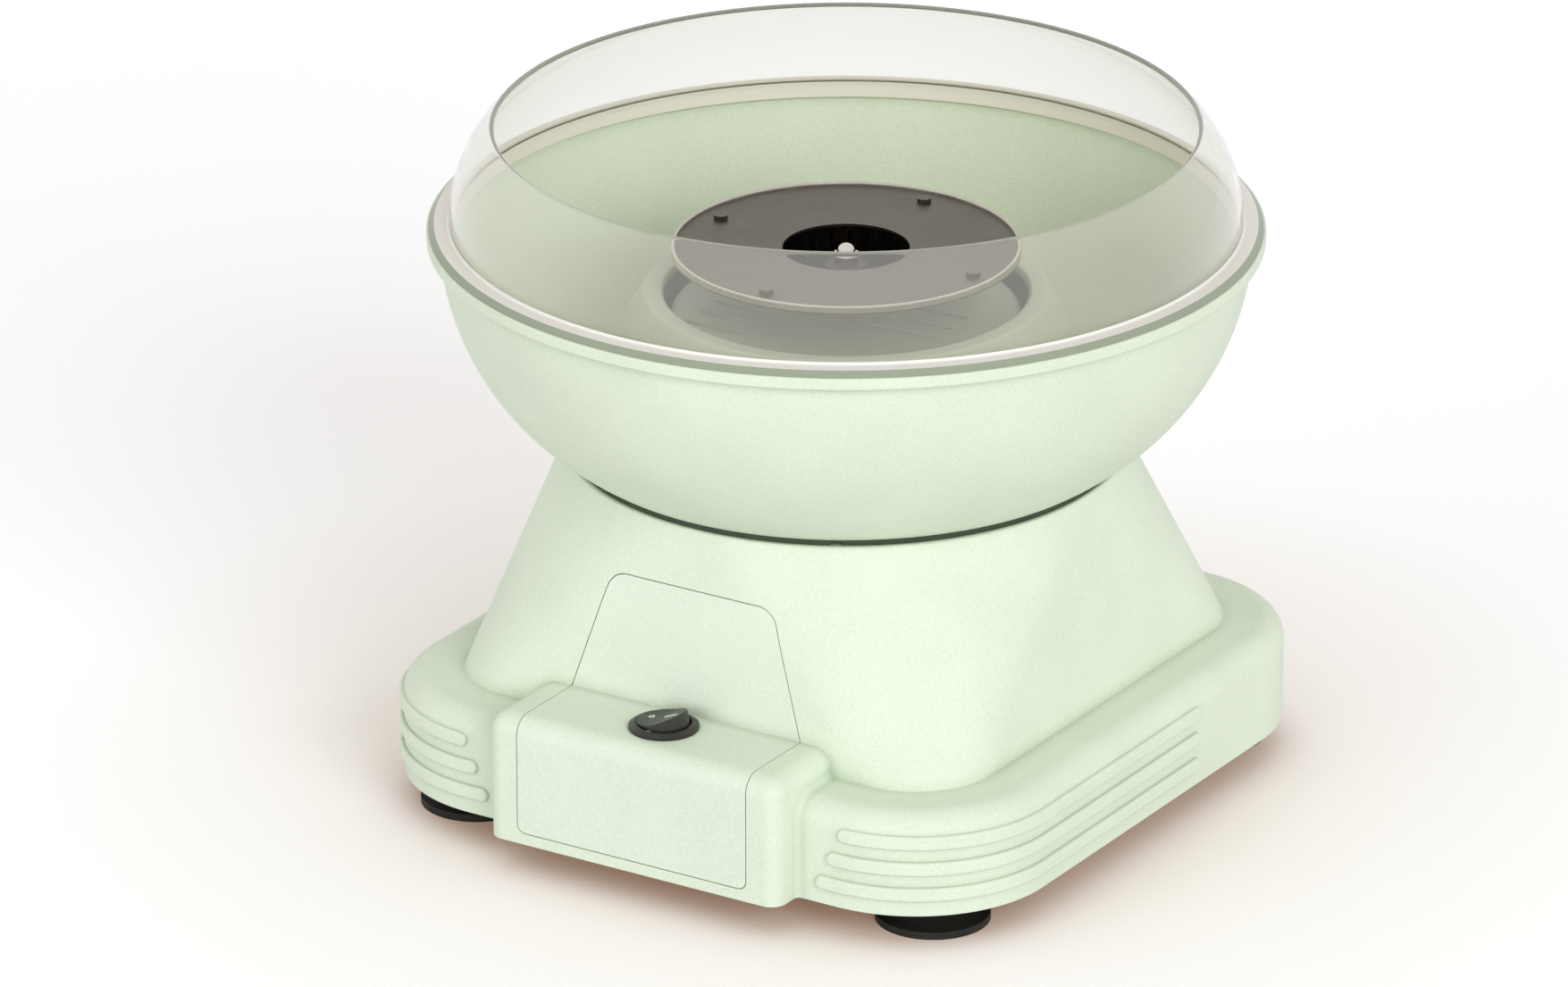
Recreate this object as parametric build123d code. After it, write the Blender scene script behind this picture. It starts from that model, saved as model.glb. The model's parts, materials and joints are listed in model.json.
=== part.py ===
from build123d import *
import math
import os

# Tabletop cotton candy machine: a moulded base with a front control block, a lift-off bowl
# with a clear guard, and a spinning heated head on a motor shaft.
# Millimetres. Z is up, the floor is Z = 0, the spin axis is the Z axis and the front is -Y.

# ---- clearances ----
seam_gap = 0.3
slip_clearance = 0.4
running_clearance = 0.05
screw_clearance = 0.2
air_gap = 1.0
match_tolerance = 0.01

# ---- base moulding: plinth ----
foot_height = 11.0
plinth_half = 121.5
plinth_corner_r = 49.0
plinth_height = 35.5
plinth_edge_r = 8.0
wall = 2.6

# ---- base moulding: pedestal, a rounded square that turns into a circle ----
ledge_width = 20.2
pedestal_base_corner_r = 29.7
pedestal_height = 72.9
pedestal_top_r = 94.0
pedestal_top_flat = 0.5
pedestal_edge_r = 1.0
deck_opening_margin = 4.0

# ---- base moulding: control block ----
block_side_margin = 15.5
block_proud = 12.5
block_rise = 9.3
block_run_in = 31.3
block_corner_r = 5.5
block_edge_r = 6.5
block_blend_r = 2.0

# ---- grip ribs round the two front corners ----
rib_count = 3
rib_height = 5.0
rib_proud = 1.5
rib_root = 0.8
rib_edge_r = 1.1
rib_low_rise = 7.8
rib_pitch = 9.2
rib_low_front_run = 5.4
rib_front_step = 4.2
rib_side_run = 98.5

# ---- front panel, an overlay let into the block and the pedestal ----
panel_side_margin = 12.2
panel_low_margin = 4.2
panel_top_margin = 20.9
panel_top_half_x = 31.2
panel_low_corner_r = 3.0
panel_top_corner_r = 8.0
panel_depth = 1.3

# ---- rocker switch ----
switch_setback = 20.5
bezel_margin = 1.7
bezel_rise = 2.0
bezel_lip_rise = 0.9
barrel_r = 10.1
barrel_wall = 0.8
barrel_depth = 16.0
barrel_floor = 2.0
rocker_gap = 0.6
rocker_pivot_drop = 1.0
rocker_crown = 1.5
rocker_rest_tilt = 15.0
rocker_dish = 9.0
rocker_skirt = 4.6
rocker_pin_r = 1.2
blade_width = 4.8
blade_thickness = 0.8
blade_length = 7.0
blade_pitch = 8.0
blade_count = 2

# ---- bowl ----
rim_r = 140.0
rim_height = 4.1
rim_edge_r = 0.7
rim_overhang = 4.0
rim_land = 8.0
bowl_height = 75.4
bowl_wall = 2.6
bowl_foot_gap = 2.2
bowl_foot_inset = 0.2
bowl_foot_edge_r = 0.8
collar_rise = 7.0
collar_mouth_flare = 1.5
collar_top_width = 6.6
collar_shoulder_width = 7.3
collar_shoulder_drop = 12.5
collar_shoulder_r = 7.0
collar_foot_flare = 2.0
collar_edge_r = 1.2
lug_r = 1.2
lug_depth = 2.8
lug_inset = 5.4
lug_clearance = 0.8
lug_first_angle = -60.0
lug_count = 2
seat_margin = 2.0
seat_width = 6.0
seal_width = 2.2
seal_notch_width = 4.0
seal_notch_height = 1.1

# ---- clear guard ----
guard_flange_inset = 1.0
guard_flange_thickness = 2.0
guard_flange_bevel = 1.6
guard_foot_margin = 0.5
guard_arc_r = 46.6
guard_height = 35.6
guard_wall = 1.6
guard_skirt_depth = 3.4
guard_edge_r = 0.4

# ---- spinning head ----
head_r = 58.4
head_depth = 13.8
head_bead = 1.2
head_bead_drop = 1.1
head_sheet = 1.0
head_hole_r = 21.3
head_gap = 9.2
pan_gap = 0.8
pan_flange_inset = 3.4
pan_flange_width = 10.0
pan_floor_margin = 1.4
pan_hub_wall = 4.0
pan_hub_height = 7.0
band_margin = 2.3
band_thickness = 0.8
band_slot_count = 24
band_slot_width = 0.6
band_slot_height = 6.0
rivet_inset = 8.8
rivet_count = 4
rivet_r = 1.5
rivet_head_r = 2.4
rivet_head_height = 1.5
rivet_tail_height = 0.8
nut_flats = 8.0
nut_height = 3.4
nut_dome_r = 3.2
drive_pin_r = 1.2
drive_pin_length = 15.0

# ---- heater cover, the drum inside the bowl's collar ----
cover_overhang = 0.2
cover_height = 47.6
cover_wall = 2.4
cover_edge_r = 2.0
cover_hub_r = 8.0
cover_hub_depth = 5.0
slot_length = 24.0
slot_width = 3.0
slot_pitch = 10.4
slot_rows = 3
slot_group_x = 28.0
slot_group_left_y = -28.6
slot_group_right_y = 2.0
cover_boss_bite = 0.3
cover_boss_r = 5.0
cover_boss_height = 20.0
cover_screw_count = 3
cover_screw_first_angle = 90.0

# ---- motor ----
shaft_r = 3.0
shaft_in_nut = 3.2
can_r = 30.0
can_wall = 1.5
can_height = 60.0
bracket_margin = 1.5
bracket_thickness = 2.0
bracket_hole_r = 9.0
bracket_screw_inset = 5.5
bracket_screw_count = 4
bracket_screw_first_angle = 45.0
motor_screw_orbit_r = 16.0
motor_screw_count = 2
motor_screw_length = 8.0
stator_thickness = 5.5
core_drop = 15.0
core_lift = 10.0
rotor_air_gap = 0.5
bearing_wall = 5.0
bearing_width = 6.0
bearing_cup_wall = 2.0
fan_hub_r = 6.5
fan_hub_height = 10.0
fan_margin = 2.0
fan_blade_count = 6
fan_blade_thickness = 1.2
fan_blade_height = 9.0
fan_blade_twist = 35.0
fan_drop = 3.0

# ---- heater ----
post_inset = 7.0
post_count = 3
post_first_angle = 30.0
post_r = 4.0
post_neck_r = 2.4
post_height = 30.0
shield_margin = 1.0
shield_thickness = 1.0
shield_rise = 12.0
shield_hole_r = 10.0
element_tube_r = 3.0
element_open_angle = 20.0
element_leg_r = 2.2
element_leg_depth = 26.0
element_end_length = 4.0
cutout_length = 14.0
cutout_width = 8.0
cutout_height = 6.0

# ---- bottom plate, feet, screws and wiring fittings ----
plate_recess = 2.5
plate_thickness = 2.5
vent_length = 34.0
vent_width = 3.0
vent_pitch = 8.0
vent_count = 5
vent_y = 30.0
foot_inset = 31.4
foot_r = 19.2
foot_lip = 2.6
foot_dish_margin = 4.2
foot_dish_depth = 3.0
foot_neck_r = 8.5
foot_stem_r = 5.0
foot_button_margin = 2.0
foot_button_height = 3.0
boss_r = 4.2
boss_inset = 11.5
boss_side_y = 36.0
boss_end_x = 68.0
screw_r = 1.6
screw_head_r = 3.3
screw_head_height = 2.0
screw_length = 10.0
bracket_screw_length = 5.0
gland_x = 45.0
gland_rise = 17.0
gland_wall = 3.6
gland_flange_margin = 2.5
gland_flange_thickness = 3.0
gland_inner_length = 8.0
gland_bore_r = 3.4
terminal_length = 40.0
terminal_width = 15.0
terminal_height = 13.0
terminal_x = 30.0
terminal_y = 62.0

# ---- heights worked out from the sizes above, from the floor up ----
plinth_bottom_z = foot_height
plinth_top_z = plinth_bottom_z + plinth_height
plate_bottom_z = plinth_bottom_z + plate_recess
plate_top_z = plate_bottom_z + plate_thickness
gland_z = plinth_bottom_z + gland_rise
rib_low_z = plinth_bottom_z + rib_low_rise
block_top_z = plinth_top_z + block_rise
bezel_top_z = block_top_z + bezel_rise
pivot_z = bezel_top_z - rocker_pivot_drop
pedestal_top_z = plinth_top_z + pedestal_height
deck_bottom_z = pedestal_top_z - wall
panel_low_z = plinth_bottom_z + panel_low_margin
panel_top_z = pedestal_top_z - panel_top_margin
bowl_foot_z = pedestal_top_z + bowl_foot_gap
rim_top_z = bowl_foot_z + bowl_height
rim_bottom_z = rim_top_z - rim_height
cover_top_z = pedestal_top_z + cover_height
collar_top_z = cover_top_z + collar_rise
collar_shoulder_z = collar_top_z - collar_shoulder_drop
pan_floor_z = cover_top_z + head_gap
drive_pin_z = pan_floor_z - drive_pin_r - running_clearance
head_top_z = pan_floor_z + head_depth
head_sheet_top_z = head_top_z - head_bead_drop
head_sheet_bottom_z = head_sheet_top_z - head_sheet
pan_flange_top_z = head_sheet_bottom_z - pan_gap
nut_bottom_z = pan_floor_z + pan_hub_height
shaft_top_z = nut_bottom_z + shaft_in_nut
bracket_top_z = pedestal_top_z + bracket_thickness
can_top_low_z = pedestal_top_z - can_wall
can_bottom_z = pedestal_top_z - can_height
core_top_z = pedestal_top_z - core_drop
core_low_z = can_bottom_z + core_lift
fan_top_z = can_bottom_z - can_wall - fan_drop
shaft_bottom_z = fan_top_z - fan_hub_height
post_top_z = bracket_top_z + post_height
shield_z = bracket_top_z + shield_rise
element_z = post_top_z + element_tube_r

# ---- radii and places worked out from the sizes above ----
plinth_bend = plinth_half - plinth_corner_r
block_half_x = plinth_bend - block_side_margin
pedestal_base_half = plinth_half - ledge_width
block_front_y = -(plinth_half + block_proud)
block_back_y = -(pedestal_base_half - block_run_in)
switch_y = block_front_y + switch_setback
panel_half_x = block_half_x - panel_side_margin
foot_offset = plinth_half - foot_inset
foot_dish_r = foot_r - foot_dish_margin
foot_button_r = foot_stem_r + foot_button_margin
boss_line = plinth_half - boss_inset
bezel_r = barrel_r + bezel_margin
rocker_bore_r = barrel_r - barrel_wall
rocker_r = rocker_bore_r - rocker_gap
mouth_r = rim_r - rim_land
bowl_body_r = rim_r - rim_overhang
bowl_foot_r = pedestal_top_r - bowl_foot_inset
bowl_reach = bowl_body_r - bowl_foot_r
bowl_arc_r = (bowl_reach**2 + bowl_height**2) / (2 * bowl_reach)
lug_orbit_r = bowl_foot_r - lug_inset
guard_flange_r = rim_r - guard_flange_inset
guard_foot_r = mouth_r + guard_foot_margin
pan_flange_r = head_r - pan_flange_inset
pan_flange_inner_r = pan_flange_r - pan_flange_width
band_r = head_hole_r + band_margin
pan_floor_r = band_r + pan_floor_margin
pan_hub_r = shaft_r + pan_hub_wall
rivet_orbit_r = head_r - rivet_inset
cover_r = head_r + cover_overhang
collar_bore_r = cover_r + air_gap
collar_mouth_r = collar_bore_r + collar_mouth_flare
collar_top_r = collar_mouth_r + collar_top_width
collar_skirt_r = collar_top_r + collar_shoulder_width
collar_foot_r = collar_skirt_r + collar_foot_flare
seat_inner_r = collar_foot_r + seat_margin
seal_r = pedestal_top_r - pedestal_edge_r
seal_top_z = bowl_foot_z - seam_gap
cover_boss_orbit_r = cover_r - cover_wall + cover_boss_bite - cover_boss_r
bracket_r = cover_boss_orbit_r - cover_boss_r - bracket_margin
bracket_screw_orbit_r = bracket_r - bracket_screw_inset
post_orbit_r = bracket_r - post_inset
shield_r = bracket_r - shield_margin
deck_opening_r = can_r + deck_opening_margin
stator_outer_r = can_r - can_wall
stator_inner_r = stator_outer_r - stator_thickness
rotor_r = stator_inner_r - rotor_air_gap
bearing_r = shaft_r + bearing_wall
fan_r = can_r - fan_margin
gland_r = gland_bore_r + gland_wall
gland_flange_r = gland_r + gland_flange_margin

nodes = {}


def spun(outline):
    """Solid of revolution about the Z axis from an outline in radius and height."""
    return revolve(make_face(Plane.XZ * outline), Axis.Z)


def polygon(*points):
    return Polyline(*points, close=True)


def ring(outer_r, inner_r, low_z, high_z):
    return spun(polygon((inner_r, low_z), (outer_r, low_z), (outer_r, high_z), (inner_r, high_z)))


def rod(radius, low_z, high_z, x=0.0, y=0.0):
    column = Cylinder(radius, high_z - low_z, align=(Align.CENTER, Align.CENTER, Align.MIN))
    return Pos(x, y, low_z) * column


def rounded_plate(half, corner_r, low_z, high_z):
    face = Plane.XY.offset(low_z) * RectangleRounded(2 * half, 2 * half, corner_r)
    return extrude(face, high_z - low_z)


def around(count, radius, first_angle=0.0):
    """Places spread evenly on a circle about the Z axis."""
    angles = [math.radians(first_angle + 360.0 * i / count) for i in range(count)]
    return [(radius * math.cos(a), radius * math.sin(a)) for a in angles]


def hoops(shape, height_z, radius=None):
    """Circular edges of a turned shape at one height, and at one radius if it is given."""
    circles = shape.edges().filter_by(GeomType.CIRCLE)
    level = [edge for edge in circles if abs(edge.center().Z - height_z) < match_tolerance]
    return [e for e in level if radius is None or abs(e.radius - radius) < match_tolerance]


def keep(name, shape):
    nodes[name] = shape


# ---------------------------------------------------------------- base moulding
def plinth_form(inset):
    top_z = plinth_top_z - inset
    body = rounded_plate(plinth_half - inset, plinth_corner_r - inset, plinth_bottom_z, top_z)
    return fillet(body.faces().sort_by(Axis.Z)[-1].edges(), plinth_edge_r - inset)


def pedestal_form(inset):
    base_side = 2 * (pedestal_base_half - inset)
    top_side = 2 * (pedestal_top_r - inset)
    base_corner = pedestal_base_corner_r - inset
    top_corner = pedestal_top_r - inset - pedestal_top_flat
    base = Plane.XY.offset(plinth_top_z - inset) * RectangleRounded(base_side, base_side, base_corner)
    top = Plane.XY.offset(pedestal_top_z - inset) * RectangleRounded(top_side, top_side, top_corner)
    return loft([base, top], ruled=True)


def block_form(inset):
    low_z = plinth_bottom_z
    high_z = block_top_z - inset
    front_y = block_front_y + inset
    length_y = block_back_y - front_y
    centre = Pos(0, front_y + length_y / 2, (low_z + high_z) / 2)
    body = centre * Box(2 * (block_half_x - inset), length_y, high_z - low_z)
    uprights = body.edges().filter_by(Axis.Z).group_by(Axis.Y)[0]
    body = fillet(uprights, block_corner_r - inset)
    top_face = body.faces().sort_by(Axis.Z)[-1]
    top_edges = top_face.edges().sort_by(Axis.Y)[:-1]
    return fillet(top_edges, block_edge_r - inset)


def body_form(inset):
    """The whole base moulding's outer form, drawn inwards by inset."""
    return plinth_form(inset) + pedestal_form(inset) + block_form(inset)


def blended_body():
    """The outer form with the block's sides blended into the plinth's front."""
    body = body_form(0.0)
    blend_low_z = plinth_top_z - plinth_edge_r
    corners = [
        edge
        for edge in body.edges().filter_by(Axis.Z)
        if abs(abs(edge.center().X) - block_half_x) < match_tolerance
        and abs(edge.center().Y + plinth_half) < match_tolerance
        and edge.center().Z < blend_low_z
    ]
    body = fillet(corners, block_blend_r)
    top_edges = body.faces().sort_by(Axis.Z)[-1].edges()
    return fillet(top_edges, pedestal_edge_r)


def rib_section():
    """A rib's section with its two outer corners rounded: x points out of the plinth."""
    face = Pos((rib_proud - rib_root) / 2, 0) * Rectangle(rib_proud + rib_root, rib_height)
    return fillet(face.vertices().group_by(Axis.X)[-1], rib_edge_r)


def rib_end(origin, outward, away):
    """Rounded end of a rib: half of its section turned half round, on the side that faces away."""
    half = Pos(0, rib_height / 2) * Rectangle(4 * rib_proud, rib_height)
    plane = Plane(origin=origin, x_dir=outward, z_dir=away)
    return revolve(plane * (rib_section() & half), Axis(origin, outward), 180)


def rib(level):
    """One bar round the right front corner: a bend, a side straight and two rounded ends.

    A bar that starts before the bend also has a front straight.
    """
    height_z = rib_low_z + level * rib_pitch
    run = level * rib_front_step - rib_low_front_run
    turn = max(0.0, run) / plinth_corner_r
    outward = (math.sin(turn), -math.cos(turn), 0)
    along = (math.cos(turn), math.sin(turn), 0)
    bend_x = plinth_bend + plinth_corner_r * outward[0]
    bend_y = -plinth_bend + plinth_corner_r * outward[1]
    bend_plane = Plane(origin=(bend_x, bend_y, height_z), x_dir=outward, z_dir=along)
    bend_axis = Axis((plinth_bend, -plinth_bend, 0), (0, 0, 1))
    bar = revolve(bend_plane * rib_section(), bend_axis, 90 - math.degrees(turn))

    side_start = Plane(origin=(plinth_half, -plinth_bend, height_z), x_dir=(1, 0, 0), z_dir=(0, 1, 0))
    bar = bar + extrude(side_start * rib_section(), rib_side_run)
    side_end = (plinth_half, rib_side_run - plinth_bend, height_z)
    bar = bar + rib_end(side_end, (1, 0, 0), (0, 1, 0))

    front = (bend_x + min(0.0, run), bend_y, height_z)
    if run < 0:
        front_plane = Plane(origin=front, x_dir=outward, z_dir=along)
        bar = bar + extrude(front_plane * rib_section(), -run)
    return bar + rib_end(front, outward, (-along[0], -along[1], 0))


def panel_prism(margin):
    """The panel's outline, drawn outwards by margin and run through the front walls."""
    low_z = panel_low_z - margin
    high_z = panel_top_z + margin
    slope = (panel_half_x - panel_top_half_x) / (panel_top_z - block_top_z)
    half = panel_half_x + margin
    top_half = panel_top_half_x + margin - slope * margin
    outline = polygon(
        (-half, low_z), (half, low_z), (half, block_top_z), (top_half, high_z),
        (-top_half, high_z), (-half, block_top_z),
    )
    face = make_face(outline)
    low_corners = face.vertices().group_by(Axis.Y)[0]
    face = fillet(low_corners, panel_low_corner_r + margin)
    top_corners = face.vertices().group_by(Axis.Y)[-1]
    face = fillet(top_corners, panel_top_corner_r + margin)
    front = Plane(origin=(0, block_front_y - air_gap, 0), x_dir=(1, 0, 0), z_dir=(0, -1, 0))
    return extrude(front * face, -(block_back_y - block_front_y))


def boss_places():
    sides = [(x, y) for x in (-boss_line, boss_line) for y in (-boss_side_y, boss_side_y)]
    ends = [(x, y) for x in (-boss_end_x, boss_end_x) for y in (-boss_line, boss_line)]
    return sides + ends


def switch_hole():
    return rod(barrel_r + screw_clearance, block_top_z - 3 * wall, bezel_top_z, 0, switch_y)


def bored(shape, places, radius, low_z, high_z):
    """A shape with an upright hole at each place."""
    for x, y in places:
        shape = shape - rod(radius, low_z, high_z, x, y)
    return shape


def lug_places():
    return around(lug_count, lug_orbit_r, lug_first_angle)


def bracket_screw_places():
    return around(bracket_screw_count, bracket_screw_orbit_r, bracket_screw_first_angle)


def cover_boss_places():
    return around(cover_screw_count, cover_boss_orbit_r, cover_screw_first_angle)


def base_shell():
    outer = blended_body()
    for level in range(rib_count):
        bar = rib(level)
        outer = outer + bar + mirror(bar, about=Plane.YZ)
    shell = outer - body_form(wall)
    low_z = deck_bottom_z - wall
    high_z = pedestal_top_z + wall
    shell = shell - rod(deck_opening_r, low_z, high_z)
    shell = shell + ring(seat_inner_r + seat_width, seat_inner_r, deck_bottom_z, bowl_foot_z)
    for x, y in boss_places():
        shell = shell + rod(boss_r, plate_top_z, plinth_top_z - wall / 2, x, y)
    thread_r = screw_r + running_clearance
    shell = bored(shell, boss_places(), thread_r, plate_top_z, plate_top_z + screw_length)
    shell = bored(shell, bracket_screw_places(), thread_r, low_z, high_z)
    shell = bored(shell, cover_boss_places(), screw_r + screw_clearance, low_z, high_z)
    pocket_floor_z = bowl_foot_z - lug_depth - slip_clearance
    shell = bored(shell, lug_places(), lug_r + lug_clearance, pocket_floor_z, high_z)
    gland_place = Pos(gland_x, plinth_half, gland_z) * Rot(90, 0, 0)
    return shell - gland_place * Cylinder(gland_r + screw_clearance, 4 * wall)


def base_and_panel():
    skin = body_form(0.0) - body_form(panel_depth)
    shell = base_shell()
    recess = skin & panel_prism(seam_gap)
    keep("base_housing", shell - recess - switch_hole())
    keep("front_panel", (skin & panel_prism(0.0)) - switch_hole())


# ---------------------------------------------------------------- control switch
def switch_parts():
    body = spun(
        polygon(
            (rocker_bore_r, block_top_z - barrel_depth), (barrel_r, block_top_z - barrel_depth),
            (barrel_r, block_top_z), (bezel_r, block_top_z), (bezel_r, block_top_z + bezel_lip_rise),
            (barrel_r, bezel_top_z), (rocker_bore_r, bezel_top_z),
        )
    )
    floor_low_z = block_top_z - barrel_depth
    body = body + rod(barrel_r, floor_low_z, floor_low_z + barrel_floor)
    pin_place = Pos(0, switch_y, pivot_z) * Rot(90, 0, 0)
    pin = pin_place * Cylinder(rocker_pin_r, 2 * barrel_r)
    keep("switch_body", Pos(0, switch_y, 0) * body - pin)
    keep("switch_pivot_pin", pin_place * Cylinder(rocker_pin_r, 2 * barrel_r - slip_clearance))
    blades = [
        Pos(blade_pitch * (i - (blade_count - 1) / 2), switch_y, floor_low_z - blade_length / 2)
        * Box(blade_thickness, blade_width, blade_length)
        for i in range(blade_count)
    ]
    keep("switch_blades", Compound(children=blades))


def rocker():
    """A button about its pivot: a ball below, a round upper part with a dished top."""
    crown = rocker_pivot_drop + rocker_crown
    tall = 3 * rocker_r
    upper = rod(rocker_r, 0, tall)
    lower = Sphere(rocker_r) & (Pos(0, 0, -rocker_skirt / 2) * Box(tall, tall, rocker_skirt))
    button = upper + lower
    for side in (-1, 1):
        face_tilt = -side * rocker_dish
        cutter = Box(tall, tall, tall, align=(Align.CENTER, Align.CENTER, Align.MIN))
        half = Pos(side * tall / 2, 0, 0) * Box(tall, tall, 4 * tall)
        button = button - ((Pos(0, 0, crown) * Rot(0, face_tilt, 0) * cutter) & half)
    bore = Rot(90, 0, 0) * Cylinder(rocker_pin_r + running_clearance, 2 * tall)
    button = button - bore
    keep("switch_rocker", Pos(0, switch_y, pivot_z) * Rot(0, -rocker_rest_tilt, 0) * button)


# ---------------------------------------------------------------- bowl and guard
def arc_radius_at(centre_r, centre_z, radius, height_z):
    return centre_r + math.sqrt(radius**2 - (height_z - centre_z) ** 2)


def bowl():
    centre_r = bowl_body_r - bowl_arc_r
    centre_z = rim_top_z
    inner_arc_r = bowl_arc_r - bowl_wall
    floor_z = bowl_foot_z + bowl_wall
    lip_z = rim_bottom_z

    def outer_at(z):
        return (arc_radius_at(centre_r, centre_z, bowl_arc_r, z), z)

    def inner_at(z):
        return (arc_radius_at(centre_r, centre_z, inner_arc_r, z), z)

    middle_z = (bowl_foot_z + lip_z) / 2
    inner_mouth_z = rim_bottom_z - rim_edge_r
    floor_inner_r = collar_foot_r - bowl_wall / 2
    outline = (
        Polyline((floor_inner_r, bowl_foot_z), outer_at(bowl_foot_z))
        + ThreePointArc(outer_at(bowl_foot_z), outer_at(middle_z), outer_at(lip_z))
        + Polyline(
            outer_at(lip_z), (rim_r, rim_bottom_z), (rim_r, rim_top_z), (mouth_r, rim_top_z),
            (mouth_r, lip_z), inner_at(inner_mouth_z),
        )
        + ThreePointArc(inner_at(inner_mouth_z), inner_at(middle_z), inner_at(floor_z))
        + Polyline(inner_at(floor_z), (floor_inner_r, floor_z), (floor_inner_r, bowl_foot_z))
    )
    dish = spun(outline)
    dish = fillet(hoops(dish, rim_top_z) + hoops(dish, rim_bottom_z, rim_r), rim_edge_r)
    dish = fillet(hoops(dish, bowl_foot_z, outer_at(bowl_foot_z)[0]), bowl_foot_edge_r)
    dish = dish + collar()
    for x, y in lug_places():
        dish = dish + rod(lug_r, bowl_foot_z - lug_depth, bowl_foot_z + bowl_wall / 2, x, y)
    keep("bowl", dish)


def collar():
    """Ring wall round the bowl's hole, open underneath, with a lip turned in at its top."""
    outer = spun(
        polygon(
            (collar_mouth_r, bowl_foot_z), (collar_foot_r, bowl_foot_z),
            (collar_skirt_r, collar_shoulder_z), (collar_top_r, collar_top_z),
            (collar_mouth_r, collar_top_z),
        )
    )
    outer = fillet(hoops(outer, collar_shoulder_z), collar_shoulder_r)
    outer = fillet(hoops(outer, collar_top_z), collar_edge_r)
    lip_low_z = collar_top_z - bowl_wall
    hollow = spun(
        polygon(
            (collar_mouth_r - air_gap, bowl_foot_z - bowl_wall),
            (collar_foot_r - bowl_wall, bowl_foot_z - bowl_wall),
            (collar_skirt_r - bowl_wall, collar_shoulder_z - bowl_wall),
            (collar_top_r - bowl_wall, lip_low_z), (collar_mouth_r - air_gap, lip_low_z),
        )
    )
    return outer - hollow


def guard():
    centre_r = guard_foot_r - guard_arc_r
    base_z = rim_top_z
    centre_z = base_z + guard_flange_thickness
    inner_arc_r = guard_arc_r - guard_wall
    top_z = base_z + guard_height
    middle_z = (centre_z + top_z) / 2
    skirt_outer_r = mouth_r - slip_clearance

    def outer_at(z):
        return (arc_radius_at(centre_r, centre_z, guard_arc_r, z), z)

    def inner_at(z):
        return (arc_radius_at(centre_r, centre_z, inner_arc_r, z), z)

    skirt_inner_r = inner_at(centre_z)[0] - guard_wall / 2
    skirt_low_z = base_z - guard_skirt_depth
    bevel_z = centre_z - guard_flange_bevel
    outline = (
        Polyline(
            inner_at(centre_z), (skirt_inner_r, skirt_low_z), (skirt_outer_r, skirt_low_z),
            (skirt_outer_r, base_z), (guard_flange_r, base_z), (guard_flange_r, bevel_z),
            (guard_flange_r - guard_flange_bevel, centre_z), outer_at(centre_z),
        )
        + ThreePointArc(outer_at(centre_z), outer_at(middle_z), outer_at(top_z))
        + Polyline(outer_at(top_z), inner_at(top_z))
        + ThreePointArc(inner_at(top_z), inner_at(middle_z), inner_at(centre_z))
    )
    shape = spun(outline)
    keep("guard", fillet(hoops(shape, top_z), guard_edge_r))


def seal_ring():
    """Rubber ring in the gap under the bowl's edge, with a drain notch beside each lug."""
    seal = ring(seal_r, seal_r - seal_width, pedestal_top_z, seal_top_z)
    notch = Pos(seal_r, 0, pedestal_top_z) * Box(
        4 * seal_width, seal_notch_width, 2 * seal_notch_height
    )
    for i in range(lug_count):
        seal = seal - Rot(0, 0, lug_first_angle + 360.0 * i / lug_count) * notch
    keep("seal_ring", seal)


# ---------------------------------------------------------------- heater cover
def heater_cover():
    drum = rod(cover_r, pedestal_top_z, cover_top_z)
    drum = fillet(drum.faces().sort_by(Axis.Z)[-1].edges(), cover_edge_r)
    drum = drum - rod(cover_r - cover_wall, pedestal_top_z, cover_top_z - cover_wall)
    drum = drum + rod(cover_hub_r, cover_top_z - cover_hub_depth, cover_top_z - cover_wall / 2)
    drum = drum - rod(shaft_r + air_gap, cover_top_z - 2 * cover_hub_depth, cover_top_z + air_gap)
    for x, y in cover_boss_places():
        drum = drum + rod(cover_boss_r, pedestal_top_z, pedestal_top_z + cover_boss_height, x, y)
    thread_r = screw_r + running_clearance
    drum = bored(drum, cover_boss_places(), thread_r, pedestal_top_z, pedestal_top_z + screw_length)
    groups = ((-slot_group_x, slot_group_left_y), (slot_group_x, slot_group_right_y))
    for group_x, group_y in groups:
        for row in range(slot_rows):
            y = group_y + slot_pitch * (row - (slot_rows - 1) / 2)
            face = Plane.XY.offset(cover_top_z - 2 * cover_wall) * SlotOverall(slot_length, slot_width)
            drum = drum - Pos(group_x, y, 0) * extrude(face, 3 * cover_wall)
    keep("heater_cover", drum)


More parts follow.
